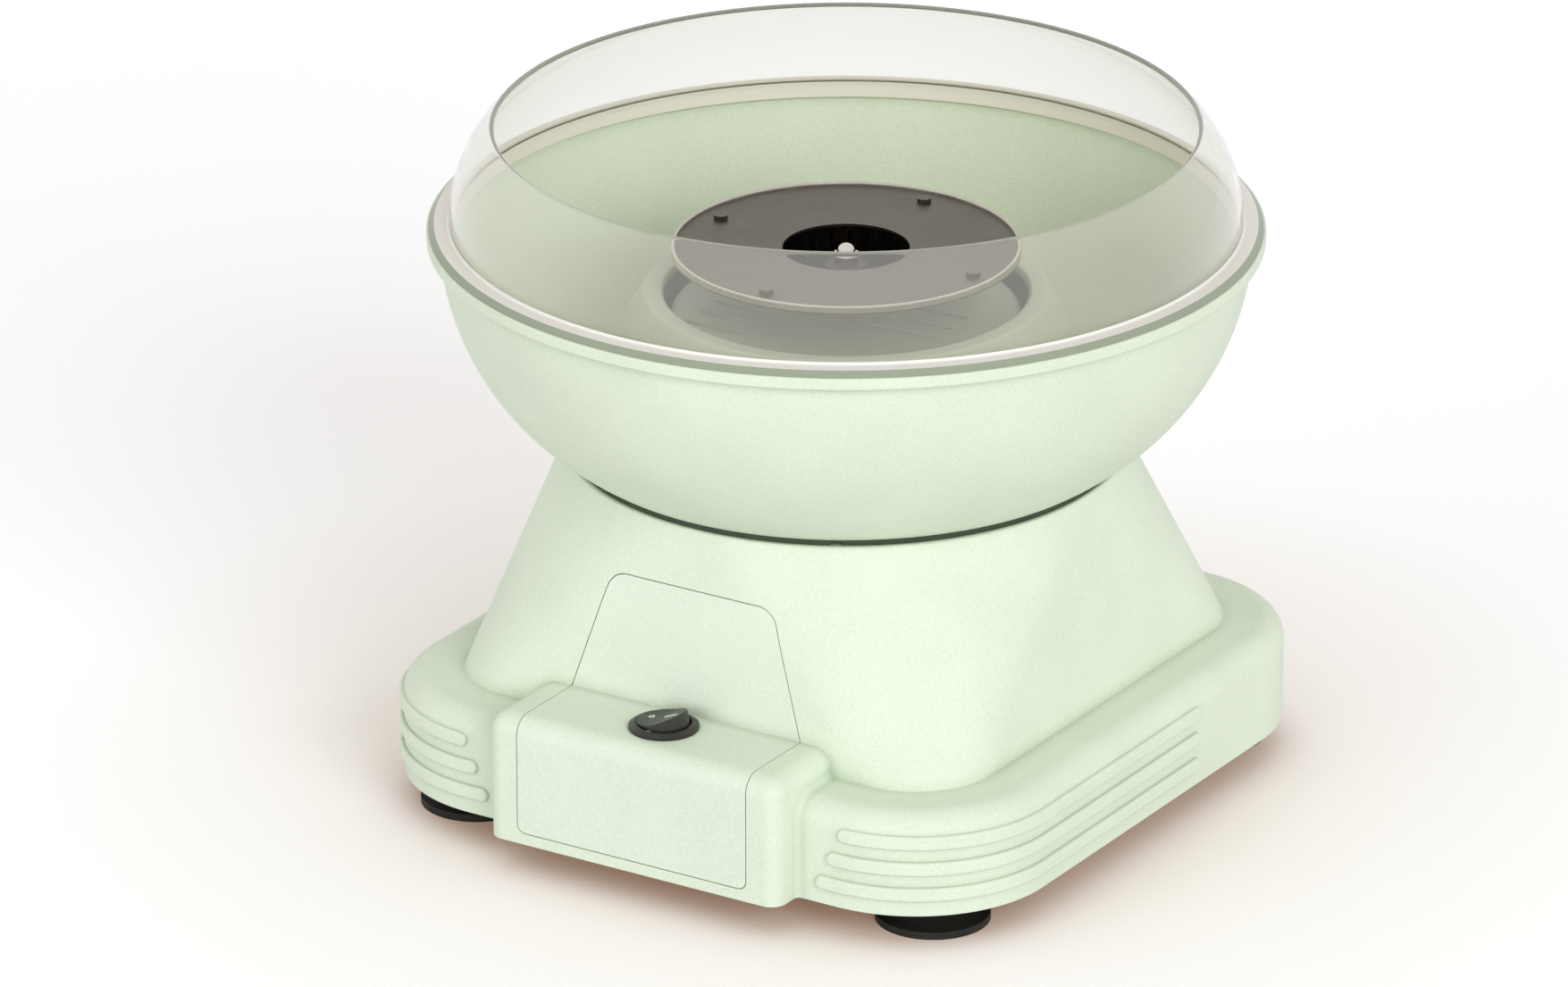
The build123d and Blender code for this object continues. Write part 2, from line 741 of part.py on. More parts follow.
# ---------------------------------------------------------------- spinning head
def head_parts():
    bead_inner_r = head_r - head_bead
    bead_low_z = head_sheet_bottom_z - head_sheet / 2
    disc = spun(
        polygon(
            (head_hole_r, head_sheet_bottom_z), (bead_inner_r, head_sheet_bottom_z),
            (bead_inner_r, bead_low_z), (head_r, bead_low_z), (head_r, head_top_z),
            (bead_inner_r, head_top_z), (bead_inner_r, head_sheet_top_z),
            (head_hole_r, head_sheet_top_z),
        )
    )
    disc = fillet(hoops(disc, head_top_z), head_bead / 3)

    pan_flange_low_z = pan_flange_top_z - head_sheet
    pan = spun(
        polygon(
            (shaft_r, pan_floor_z), (pan_floor_r, pan_floor_z), (pan_flange_inner_r, pan_flange_low_z),
            (pan_flange_r, pan_flange_low_z), (pan_flange_r, pan_flange_top_z),
            (pan_flange_inner_r, pan_flange_top_z), (pan_floor_r, pan_floor_z + head_sheet),
            (pan_hub_r, pan_floor_z + head_sheet), (pan_hub_r, nut_bottom_z),
            (shaft_r, nut_bottom_z),
        )
    )

    band_low_z = pan_floor_z + head_sheet
    band = ring(band_r, band_r - band_thickness, band_low_z, head_sheet_bottom_z)
    band_middle_z = (band_low_z + head_sheet_bottom_z) / 2
    cutter = Box(4 * band_thickness, band_slot_width, band_slot_height)
    for i in range(band_slot_count):
        turn = Rot(0, 0, 360.0 * i / band_slot_count)
        band = band - turn * Pos(band_r, 0, band_middle_z) * cutter

    rivets = []
    for x, y in around(rivet_count, rivet_orbit_r):
        hole = rod(rivet_r, pan_floor_z, head_top_z, x, y)
        disc = disc - hole
        pan = pan - hole
        head_z = head_sheet_top_z + rivet_head_height
        tail_z = pan_flange_low_z - rivet_tail_height
        shank = rod(rivet_r, tail_z, head_z, x, y)
        top = rod(rivet_head_r, head_sheet_top_z, head_z, x, y)
        spacer = rod(rivet_head_r, pan_flange_top_z, head_sheet_bottom_z, x, y)
        tail = rod(rivet_head_r, tail_z, pan_flange_low_z, x, y)
        rivets.append(shank + top + spacer + tail)

    keep("head_disc", disc)
    keep("head_pan", pan)
    keep("head_band", band)
    keep("head_rivets", Compound(children=rivets))

    nut_face = RegularPolygon(nut_flats / 2, 6, major_radius=False)
    nut = extrude(Plane.XY.offset(nut_bottom_z) * nut_face, nut_height)
    dome_z = shaft_top_z + air_gap / 2
    nut = nut + rod(nut_dome_r, nut_bottom_z, dome_z) + Pos(0, 0, dome_z) * Sphere(nut_dome_r)
    keep("cap_nut", nut - rod(shaft_r, nut_bottom_z - air_gap, shaft_top_z))
    keep("drive_pin", drive_pin())


def drive_pin():
    return Pos(0, 0, drive_pin_z) * Rot(0, 90, 0) * Cylinder(drive_pin_r, drive_pin_length)


# ---------------------------------------------------------------- motor
def post_places():
    return around(post_count, post_orbit_r, post_first_angle)


def motor_parts():
    keep("motor_shaft", rod(shaft_r, shaft_bottom_z, shaft_top_z) - drive_pin())

    motor_screw_places = around(motor_screw_count, motor_screw_orbit_r)
    hole_r = screw_r + screw_clearance
    bracket = ring(bracket_r, bracket_hole_r, pedestal_top_z, bracket_top_z)
    bracket = bored(bracket, bracket_screw_places(), hole_r, pedestal_top_z, bracket_top_z)
    bracket = bored(bracket, motor_screw_places, hole_r, pedestal_top_z, bracket_top_z)
    keep("motor_bracket", bored(bracket, post_places(), post_neck_r, pedestal_top_z, bracket_top_z))
    short = [screw_down(x, y, bracket_top_z, bracket_screw_length) for x, y in bracket_screw_places()]
    keep("bracket_screws", Compound(children=short))
    motor_screws = [screw_down(x, y, bracket_top_z, motor_screw_length) for x, y in motor_screw_places]
    keep("motor_screws", Compound(children=motor_screws))

    cup_r = bearing_r + bearing_cup_wall
    can = ring(can_r, bearing_r, can_bottom_z, pedestal_top_z)
    can = can - ring(can_r - can_wall, cup_r, can_bottom_z - wall, can_top_low_z)
    can = can - rod(cup_r, can_bottom_z - wall, can_top_low_z - bearing_width)
    can = can + ring(bearing_r, shaft_r + air_gap, can_top_low_z, pedestal_top_z)
    keep("motor_can", bored(can, motor_screw_places, screw_r, can_top_low_z - wall, bracket_top_z))

    cap = ring(can_r, shaft_r + air_gap, can_bottom_z - can_wall, can_bottom_z)
    cap = cap + ring(cup_r, bearing_r, can_bottom_z, can_bottom_z + bearing_width)
    keep("motor_end_cap", cap)

    keep("motor_stator", ring(stator_outer_r, stator_inner_r, core_low_z, core_top_z))
    keep("motor_rotor", ring(rotor_r, shaft_r, core_low_z, core_top_z))
    bore_r = shaft_r + running_clearance
    keep("upper_bearing", ring(bearing_r, bore_r, can_top_low_z - bearing_width, can_top_low_z))
    keep("lower_bearing", ring(bearing_r, bore_r, can_bottom_z, can_bottom_z + bearing_width))
    keep("cooling_fan", cooling_fan())


def screw_down(x, y, seat_z, length):
    """Pan-head screw driven downwards, its head on a seat."""
    head = rod(screw_head_r, seat_z, seat_z + screw_head_height, x, y)
    return rod(screw_r, seat_z - length, seat_z, x, y) + head


def screw_up(x, y, seat_z, length):
    """Pan-head screw driven upwards, its head below a seat."""
    head = rod(screw_head_r, seat_z - screw_head_height, seat_z, x, y)
    return rod(screw_r, seat_z, seat_z + length, x, y) + head


def cooling_fan():
    hub = ring(fan_hub_r, shaft_r, shaft_bottom_z, fan_top_z)
    root_r = (shaft_r + fan_hub_r) / 2
    from_root = (Align.MIN, Align.CENTER, Align.CENTER)
    blade = Box(fan_r - root_r, fan_blade_thickness, fan_blade_height, align=from_root)
    middle_z = (shaft_bottom_z + fan_top_z) / 2
    blade = Pos(root_r, 0, middle_z) * Rot(fan_blade_twist, 0, 0) * blade
    for i in range(fan_blade_count):
        hub = hub + Rot(0, 0, 360.0 * i / fan_blade_count) * blade
    return hub


# ---------------------------------------------------------------- heater
def heater_parts():
    shield_top_z = shield_z + shield_thickness
    shield = ring(shield_r, shield_hole_r, shield_z, shield_top_z)
    shield = bored(shield, post_places(), post_neck_r + screw_clearance, shield_z, shield_top_z)
    posts = []
    for x, y in post_places():
        lower = rod(post_r, bracket_top_z, shield_z, x, y)
        neck = rod(post_neck_r, pedestal_top_z, post_top_z, x, y)
        posts.append(lower + neck + rod(post_r, shield_top_z, post_top_z, x, y))
    keep("heater_posts", Compound(children=posts))

    half_open = element_open_angle / 2
    start = Plane(origin=(post_orbit_r, 0, element_z), x_dir=(1, 0, 0), z_dir=(0, 1, 0))
    tube = revolve(start * Circle(element_tube_r), Axis.Z, 360 - element_open_angle)
    tube = Rot(0, 0, 90 + half_open) * tube
    leg_angle = math.radians(half_open) + element_end_length / post_orbit_r
    leg_x = post_orbit_r * math.sin(leg_angle)
    leg_y = post_orbit_r * math.cos(leg_angle)
    leg_places = [(-leg_x, leg_y), (leg_x, leg_y)]
    for x, y in leg_places:
        tube = tube + rod(element_leg_r, element_z - element_leg_depth, element_z, x, y)
    keep("heating_element", tube)
    keep("heat_shield", bored(shield, leg_places, element_leg_r + air_gap, shield_z, shield_top_z))

    cutout_place = Pos(0, -post_orbit_r + cutout_width, shield_top_z + cutout_height / 2)
    keep("thermal_cutout", cutout_place * Box(cutout_length, cutout_width, cutout_height))


# ---------------------------------------------------------------- bottom
def plate_outline(margin):
    half = plinth_half - margin
    plinth = rounded_plate(half, plinth_corner_r - margin, plate_bottom_z, plate_top_z)
    front_y = block_front_y + margin
    length_y = -plinth_bend - front_y
    middle_z = (plate_bottom_z + plate_top_z) / 2
    tongue = Box(2 * (block_half_x - margin), length_y, plate_thickness)
    tongue = Pos(0, front_y + length_y / 2, middle_z) * tongue
    front_corners = tongue.edges().filter_by(Axis.Z).group_by(Axis.Y)[0]
    return plinth + fillet(front_corners, block_corner_r - margin)


def bottom_parts():
    plate = plate_outline(wall + slip_clearance)
    stem_hole_r = foot_stem_r + screw_clearance
    plate = bored(plate, foot_places(), stem_hole_r, plate_bottom_z, plate_top_z)
    plate = bored(plate, boss_places(), screw_r + screw_clearance, plate_bottom_z, plate_top_z)
    vent = extrude(Plane.XY.offset(plate_bottom_z) * SlotOverall(vent_length, vent_width), plate_thickness)
    for side in (-1, 1):
        for i in range(vent_count):
            plate = plate - Pos(0, side * vent_y + vent_pitch * (i - (vent_count - 1) / 2), 0) * vent
    keep("bottom_plate", plate)
    plate_screws = [screw_up(x, y, plate_bottom_z, screw_length) for x, y in boss_places()]
    keep("plate_screws", Compound(children=plate_screws))
    through = wall + screw_length - air_gap
    cover_screws = [screw_up(x, y, deck_bottom_z, through) for x, y in cover_boss_places()]
    keep("cover_screws", Compound(children=cover_screws))


def foot_places():
    return [(x, y) for x in (-foot_offset, foot_offset) for y in (-foot_offset, foot_offset)]


def foot():
    """Suction foot: a dished cup with a neck, and a button that holds it in the plate."""
    outline = (
        Polyline((0, foot_dish_depth), (foot_dish_r - foot_dish_depth, foot_dish_depth))
        + ThreePointArc(
            (foot_dish_r - foot_dish_depth, foot_dish_depth),
            (foot_dish_r - foot_dish_depth / 3, foot_dish_depth / 2),
            (foot_dish_r, 0),
        )
        + Polyline((foot_dish_r, 0), (foot_r, 0), (foot_r, foot_lip))
        + ThreePointArc(
            (foot_r, foot_lip),
            ((foot_r + foot_neck_r) / 2 - foot_lip, plate_bottom_z / 2 - foot_lip / 2),
            (foot_neck_r, plate_bottom_z - foot_dish_depth),
        )
        + Polyline(
            (foot_neck_r, plate_bottom_z - foot_dish_depth), (foot_neck_r, plate_bottom_z),
            (foot_stem_r, plate_bottom_z), (foot_stem_r, plate_top_z), (foot_button_r, plate_top_z),
            (foot_button_r - foot_button_height / 2, plate_top_z + foot_button_height),
            (0, plate_top_z + foot_button_height), (0, foot_dish_depth),
        )
    )
    return spun(outline)


def fittings():
    cup = foot()
    names = ("foot_front_left", "foot_rear_left", "foot_front_right", "foot_rear_right")
    for name, (x, y) in zip(names, foot_places()):
        keep(name, Pos(x, y, 0) * cup)
    gland = ring(gland_flange_r, gland_bore_r, 0, gland_flange_thickness)
    gland = gland + ring(gland_r, gland_bore_r, -gland_inner_length, 0)
    keep("cord_gland", Pos(gland_x, plinth_half, gland_z) * Rot(-90, 0, 0) * gland)
    block_z = plate_top_z + terminal_height / 2
    block = Box(terminal_length, terminal_width, terminal_height)
    keep("terminal_block", Pos(terminal_x, terminal_y, block_z) * block)


def main():
    base_and_panel()
    switch_parts()
    rocker()
    bowl()
    guard()
    seal_ring()
    heater_cover()
    head_parts()
    motor_parts()
    heater_parts()
    bottom_parts()
    fittings()
    os.makedirs("parts", exist_ok=True)
    for name, shape in nodes.items():
        shape.label = name
        export_step(shape, os.path.join("parts", name + ".step"))
        print(name, round(shape.volume), "mm3", len(shape.solids()), "solids")


main()
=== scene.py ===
import json
import math

import bmesh
import bpy
import numpy as np
from mathutils import Matrix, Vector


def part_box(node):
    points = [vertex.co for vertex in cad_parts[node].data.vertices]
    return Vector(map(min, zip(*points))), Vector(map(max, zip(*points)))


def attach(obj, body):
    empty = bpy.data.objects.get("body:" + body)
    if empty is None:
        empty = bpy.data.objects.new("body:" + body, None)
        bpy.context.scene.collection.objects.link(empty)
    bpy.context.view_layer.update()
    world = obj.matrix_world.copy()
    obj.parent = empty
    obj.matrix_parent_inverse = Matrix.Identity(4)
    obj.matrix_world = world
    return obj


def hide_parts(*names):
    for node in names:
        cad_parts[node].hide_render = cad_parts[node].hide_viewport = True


bl_info = {
    "name": "Cotton candy machine",
    "version": (1, 0, 0),
    "blender": (4, 5, 0),
    "location": "3D View > Sidebar > Cotton Candy",
    "description": "Builds the looks of a tabletop cotton candy machine round its packed frame",
    "category": "Object",
}

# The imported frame, and the places in it that the new pieces start from
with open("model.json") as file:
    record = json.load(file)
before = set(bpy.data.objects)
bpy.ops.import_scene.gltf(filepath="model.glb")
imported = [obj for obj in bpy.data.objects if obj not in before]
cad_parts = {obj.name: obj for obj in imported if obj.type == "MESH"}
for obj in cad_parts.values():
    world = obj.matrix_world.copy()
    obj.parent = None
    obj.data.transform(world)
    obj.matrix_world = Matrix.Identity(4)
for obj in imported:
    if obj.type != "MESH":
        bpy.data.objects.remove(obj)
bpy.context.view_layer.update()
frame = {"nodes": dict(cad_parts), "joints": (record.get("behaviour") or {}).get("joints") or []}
guard_low, guard_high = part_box("guard")
rim_top_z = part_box("bowl")[1].z
rocker_joint = next(j for j in frame["joints"] if j["name"] == "switch_rock")

MM = 0.001
FULL_TURN = 2 * math.pi
MERGE_DISTANCE = 1e-7
SHARP_ANGLE = math.radians(35)
WHITE = (1.0, 1.0, 1.0, 1.0)

# Tool marks that are drawn out along no axis
NO_STRETCH = (1.0, 1.0, 1.0)

# Height of the printed ink over the button's face, thicker than real ink so that it shows
INK_LIFT = 0.06 * MM

# The guard's finishes, in the order of its material slots
CLEAR, SKIRT, EDGE_PAINTED_SHADE, FROSTED = range(4)

# A Mix node's sockets by their place, because its number and colour sockets share their names
MIX_FACTOR = 0
MIX_NUMBER_A, MIX_NUMBER_B, MIX_NUMBER_RESULT = 2, 3, 0
MIX_A, MIX_B, MIX_RESULT = 6, 7, 2

# Noise lies mostly between these values, so a pattern goes from end to end over them
NOISE_SPAN = {"From Min": 0.3, "From Max": 0.7}


# ---------------------------------------------------------------- colours and nodes
def linear(colour):
    """An sRGB hex colour as linear red, green and blue with full alpha, by the sRGB curve."""
    parts = np.array([int(colour[i : i + 2], 16) for i in (1, 3, 5)]) / 255
    bright = ((parts + 0.055) / 1.055) ** 2.4
    return (*np.where(parts <= 0.04045, parts / 12.92, bright).tolist(), 1.0)


def add_node(tree, kind, inputs=None, **settings):
    """Adds one node. An input is given as a value, or as the socket that feeds it."""
    node = tree.nodes.new(kind)
    for name, value in settings.items():
        setattr(node, name, value)
    for name, value in (inputs or {}).items():
        if isinstance(value, bpy.types.NodeSocket):
            tree.links.new(value, node.inputs[name])
        else:
            node.inputs[name].default_value = value
    return node


def start_material(name):
    """A material with nothing but its output, and the object coordinates that patterns read."""
    material = bpy.data.materials.new(name)
    material.use_nodes = True
    tree = material.node_tree
    tree.nodes.clear()
    output = add_node(tree, "ShaderNodeOutputMaterial")
    place = add_node(tree, "ShaderNodeTexCoord").outputs["Object"]
    return material, tree, output, place


def mottled(tree, place, light, dark, size, speckle):
    """A colour between two near shades: a third from soft patches of the given size in metres,
    the rest from the finer speckle that is passed in."""
    patch_share = 0.33
    patches = add_node(
        tree, "ShaderNodeTexNoise", {"Vector": place, "Scale": 1 / size, "Detail": 1.0}
    )
    blend = add_node(
        tree,
        "ShaderNodeMix",
        {MIX_FACTOR: patch_share, MIX_NUMBER_A: speckle, MIX_NUMBER_B: patches.outputs["Fac"]},
    )
    shade = add_node(
        tree, "ShaderNodeMapRange", {"Value": blend.outputs[MIX_NUMBER_RESULT], **NOISE_SPAN}
    )
    mix = add_node(
        tree,
        "ShaderNodeMix",
        {MIX_FACTOR: shade.outputs["Result"], MIX_A: dark, MIX_B: light},
        data_type="RGBA",
    )
    return mix.outputs[MIX_RESULT]


def edge_wear(tree, rounded, colour, worn_colour, share):
    """Turns a colour towards the worn one, by the share at most, where the rounded normal leaves
    the plain one, which is at the edges. The cosine of the angle between them says how far."""
    flat_cosine, edge_cosine = 1.0, 0.8
    plain = add_node(tree, "ShaderNodeNewGeometry").outputs["Normal"]
    match = add_node(
        tree, "ShaderNodeVectorMath", {0: rounded, 1: plain}, operation="DOT_PRODUCT"
    )
    limits = {"From Min": flat_cosine, "From Max": edge_cosine, "To Min": 0.0, "To Max": share}
    worn = add_node(tree, "ShaderNodeMapRange", {"Value": match.outputs["Value"], **limits})
    mix = add_node(
        tree,
        "ShaderNodeMix",
        {MIX_FACTOR: worn.outputs["Result"], MIX_A: colour, MIX_B: worn_colour},
        data_type="RGBA",
    )
    return mix.outputs[MIX_RESULT]


def crease_painted_shade(tree, colour):
    """Painted shade: darkens a colour in narrow creases, where less light reaches them."""
    reach, shut_share, flat_share = 5 * MM, 0.35, 0.9
    # A grey-green that the colour is multiplied by, as painted shade in the creases
    painted_shade_colour = (0.66, 0.68, 0.62, 1.0)
    painted_shade_opening = add_node(tree, "ShaderNodeAmbientOcclusion", {"Distance": reach}, samples=4)
    limits = {"From Min": shut_share, "From Max": flat_share, "To Min": 1.0, "To Max": 0.0}
    share = add_node(tree, "ShaderNodeMapRange", {"Value": painted_shade_opening.outputs["AO"], **limits})
    painted_darker = add_node(
        tree,
        "ShaderNodeMix",
        {MIX_FACTOR: 1.0, MIX_A: colour, MIX_B: painted_shade_colour},
        data_type="RGBA",
        blend_type="MULTIPLY",
    )
    mix = add_node(
        tree,
        "ShaderNodeMix",
        {MIX_FACTOR: share.outputs["Result"], MIX_A: colour, MIX_B: painted_darker.outputs[MIX_RESULT]},
        data_type="RGBA",
    )
    return mix.outputs[MIX_RESULT]


def moulded(name, light, dark, worn, *, rough, grain, depth, patch, edge_r, ior):
    """A moulded or fired finish: two near shades in patches, a fine even grain in the surface,
    painted shade in its creases and softened, slightly paler edges. Lengths are in metres. Rough
    is the lowest and highest roughness, which drifts over areas somewhat wider than a patch."""
    worn_share, drift_per_patch = 0.3, 0.7
    material, tree, output, place = start_material(name)
    rounded = add_node(tree, "ShaderNodeBevel", {"Radius": edge_r}, samples=4).outputs["Normal"]
    fine = add_node(
        tree, "ShaderNodeTexNoise", {"Vector": place, "Scale": 1 / grain, "Detail": 2.0}
    )
    drift = add_node(
        tree,
        "ShaderNodeTexNoise",
        {"Vector": place, "Scale": drift_per_patch / patch, "Detail": 4.0},
    )
    bump = add_node(
        tree,
        "ShaderNodeBump",
        {"Height": fine.outputs["Fac"], "Distance": depth, "Strength": 1.0, "Normal": rounded},
    )
    # The mottled colour, with painted shade in its creases
    colour = crease_painted_shade(tree, mottled(tree, place, light, dark, patch, fine.outputs["Fac"]))
    roughness = add_node(
        tree,
        "ShaderNodeMapRange",
        {"Value": drift.outputs["Fac"], **NOISE_SPAN, "To Min": rough[0], "To Max": rough[1]},
    )
    shader = add_node(
        tree,
        "ShaderNodeBsdfPrincipled",
        {
            "Base Color": edge_wear(tree, rounded, colour, worn, worn_share),
            "Roughness": roughness.outputs["Result"],
            "IOR": ior,
            "Normal": bump.outputs["Normal"],
        },
    )
    tree.links.new(shader.outputs["BSDF"], output.inputs["Surface"])
    return material


def worked_metal(name, light, dark, worn, *, rough, grain, stretch, depth, patch, edge_r):
    """A bare or plated metal: tool marks a grain apart, patches of two near shades and brighter
    rubbed edges. Stretch scales the marks' pattern along x, y and z, so a small number draws them
    out along its axis. Lengths are in metres, and rough is the lowest and highest roughness."""
    worn_share = 0.6
    material, tree, output, place = start_material(name)
    rounded = add_node(tree, "ShaderNodeBevel", {"Radius": edge_r}, samples=4).outputs["Normal"]
    drawn = add_node(tree, "ShaderNodeMapping", {"Vector": place, "Scale": stretch})
    marks = add_node(
        tree,
        "ShaderNodeTexNoise",
        {"Vector": drawn.outputs["Vector"], "Scale": 1 / grain, "Detail": 3.0},
    )
    bump = add_node(
        tree,
        "ShaderNodeBump",
        {"Height": marks.outputs["Fac"], "Distance": depth, "Strength": 1.0, "Normal": rounded},
    )
    colour = mottled(tree, place, light, dark, patch, marks.outputs["Fac"])
    roughness = add_node(
        tree,
        "ShaderNodeMapRange",
        {"Value": marks.outputs["Fac"], **NOISE_SPAN, "To Min": rough[0], "To Max": rough[1]},
    )
    shader = add_node(
        tree,
        "ShaderNodeBsdfPrincipled",
        {
            "Base Color": edge_wear(tree, rounded, colour, worn, worn_share),
            "Metallic": 1.0,
            "Roughness": roughness.outputs["Result"],
            "Normal": bump.outputs["Normal"],
        },
    )
    tree.links.new(shader.outputs["BSDF"], output.inputs["Surface"])
    return material


def dress(material, *names):
    """Gives CAD nodes their finish. Their meshes stay as they are."""
    for name in names:
        slots = frame["nodes"][name].data.materials
        slots.clear()
        slots.append(material)


# ---------------------------------------------------------------- finishes
def mint_abs(name, base, grain_depth):
    """Injection moulded ABS, coloured through: satin, with the fine even grain of a spark-eroded
    mould, really about 0.1 mm wide and drawn at 0.8 mm so that it shows. Its shades follow the
    base colour."""
    dark_share, worn_share = 0.88, 1.03
    light = tuple(base)
    dark = (*[dark_share * v for v in light[:3]], 1.0)
    worn = (*[min(1.0, worn_share * v) for v in light[:3]], 1.0)
    return moulded(
        name, light, dark, worn,
        rough=(0.50, 0.62), grain=0.8 * MM, depth=grain_depth, patch=30 * MM, edge_r=0.35 * MM,
        ior=1.53,
    )


def black_nylon(base):
    """Moulded glass-filled nylon: black satin with a faint haze and a grain of about 0.2 mm."""
    return moulded(
        "moulded_black_nylon", tuple(base), linear("#191A17"), linear("#3A3B36"),
        rough=(0.34, 0.46), grain=0.2 * MM, depth=0.006 * MM, patch=4 * MM, edge_r=0.2 * MM,
        ior=1.53,
    )


def black_polypropylene():
    """Moulded polypropylene under the base: duller than nylon, with a coarser 0.8 mm texture."""
    return moulded(
        "moulded_black_polypropylene", linear("#262723"), linear("#1D1E1B"), linear("#3C3D39"),
        rough=(0.52, 0.64), grain=0.8 * MM, depth=0.03 * MM, patch=14 * MM, edge_r=0.3 * MM,
        ior=1.49,
    )


def black_rubber(base):
    """Moulded rubber of the feet and the cord inlet: matte, with a 0.5 mm bloom and paler edges."""
    return moulded(
        "moulded_black_rubber", tuple(base), linear("#191A16"), linear("#34352F"),
        rough=(0.62, 0.80), grain=0.5 * MM, depth=0.02 * MM, patch=6 * MM, edge_r=0.4 * MM,
        ior=1.52,
    )


def seal_painted_gap_shade():
    """Moulded silicone seal ring with a 0.5 mm bloom; its dark grey-green is painted shade of the
    gap.
    """
    return moulded(
        "moulded_seal_painted_gap_shade", linear("#465240"), linear("#3A4535"), linear("#566350"),
        rough=(0.6, 0.75), grain=0.5 * MM, depth=0.02 * MM, patch=5 * MM, edge_r=0.2 * MM, ior=1.42,
    )


def motor_enamel():
    """Stove enamel on drawn steel: smooth blue-grey paint with orange peel about 1.5 mm wide."""
    return moulded(
        "stoved_motor_enamel", linear("#6E7377"), linear("#65696D"), linear("#8D9194"),
        rough=(0.28, 0.36), grain=1.5 * MM, depth=0.02 * MM, patch=12 * MM, edge_r=0.4 * MM,
        ior=1.5,
    )


def steatite():
    """Fired steatite ceramic: off-white and dry, with 0.4 mm grains and faintly yellow patches."""
    return moulded(
        "fired_steatite", linear("#E9E5DA"), linear("#DAD4C5"), linear("#F1EEE6"),
        rough=(0.55, 0.7), grain=0.4 * MM, depth=0.02 * MM, patch=3 * MM, edge_r=0.3 * MM, ior=1.6,
    )


def heated_aluminium(base):
    """Spun and brushed aluminium, dulled to a brown grey by heat and burnt sugar. The brush lines,
    really about 0.05 mm apart, are drawn 0.3 mm apart, and run along x as on sheet."""
    return worked_metal(
        "brushed_heated_aluminium", tuple(base), linear("#605B52"), linear("#BBB6AE"),
        rough=(0.34, 0.46), grain=0.3 * MM, stretch=(0.06, 1.0, 1.0), depth=0.01 * MM,
        patch=12 * MM, edge_r=0.25 * MM,
    )


def burnt_aluminium():
    """The cup and band where sugar melts: the same aluminium under a dark varnish of burnt sugar,
    streaked downwards over about 1 mm."""
    return worked_metal(
        "sugar_burnt_aluminium", linear("#3A342D"), linear("#221E1A"), linear("#574F46"),
        rough=(0.38, 0.56), grain=1.0 * MM, stretch=(1.0, 1.0, 0.15), depth=0.02 * MM, patch=6 * MM,
        edge_r=0.2 * MM,
    )


def rolled_edge_painted_highlight():
    """The head's rolled rim: satin aluminium with 0.4 mm scuffs, its pale colour a painted
    highlight.
    """
    return worked_metal(
        "rolled_edge_painted_highlight", linear("#CDC7BE"), linear("#B9B2A8"), linear("#DDD8D0"),
        rough=(0.30, 0.42), grain=0.4 * MM, stretch=NO_STRETCH, depth=0.006 * MM, patch=6 * MM,
        edge_r=0.1 * MM,
    )


def nickel_plate():
    """Polished nickel over steel on the cap nut: a mirror with faint 0.4 mm polishing marks."""
    return worked_metal(
        "polished_nickel_plate", linear("#D8D3CC"), linear("#CBC5BD"), linear("#ECE9E4"),
        rough=(0.07, 0.14), grain=0.4 * MM, stretch=(1.0, 1.0, 0.3), depth=0.001 * MM, patch=3 * MM,
        edge_r=0.2 * MM,
    )


def zinc_plate():
    """Bright zinc on drawn and turned steel: bluish grey with a spangle of about 1 mm."""
    return worked_metal(
        "zinc_plated_steel", linear("#B9BDC0"), linear("#A3A8AC"), linear("#D9DCDE"),
        rough=(0.26, 0.40), grain=1.0 * MM, stretch=NO_STRETCH, depth=0.01 * MM, patch=5 * MM,
        edge_r=0.2 * MM,
    )


def tinted_sheath():
    """Stainless tube of the heating element after red heat: straw brown and blue-grey tints."""
    return worked_metal(
        "heat_tinted_steel_sheath", linear("#8A7460"), linear("#4C4A52"), linear("#A8998A"),
        rough=(0.36, 0.5), grain=0.6 * MM, stretch=(1.0, 1.0, 0.4), depth=0.01 * MM, patch=16 * MM,
        edge_r=0.2 * MM,
    )


def sintered_bronze():
    """Pressed and sintered bronze of the bearings: oily brown gold with open 0.3 mm pores."""
    return worked_metal(
        "sintered_bronze", linear("#B18A56"), linear("#8C6B40"), linear("#CFAA77"),
        rough=(0.38, 0.55), grain=0.3 * MM, stretch=NO_STRETCH, depth=0.03 * MM, patch=2 * MM,
        edge_r=0.2 * MM,
    )


def contact_brass():
    """Stamped brass of the switch blades: bright, with rolling lines along their length."""
    return worked_metal(
        "stamped_brass", linear("#D9BA72"), linear("#C6A55E"), linear("#EBD7A3"),
        rough=(0.2, 0.32), grain=0.2 * MM, stretch=(1.0, 1.0, 0.08), depth=0.004 * MM, patch=2 * MM,
        edge_r=0.15 * MM,
    )


def core_laminations():
    """Stacked and varnished core sheets, 0.5 mm thick: dark grey steel with lines at the joints."""
    return worked_metal(
        "laminated_core_steel", linear("#6C6D70"), linear("#4A4B4E"), linear("#8F9092"),
        rough=(0.35, 0.55), grain=0.5 * MM, stretch=(0.02, 0.02, 1.0), depth=0.05 * MM,
        patch=4 * MM, edge_r=0.15 * MM,
    )


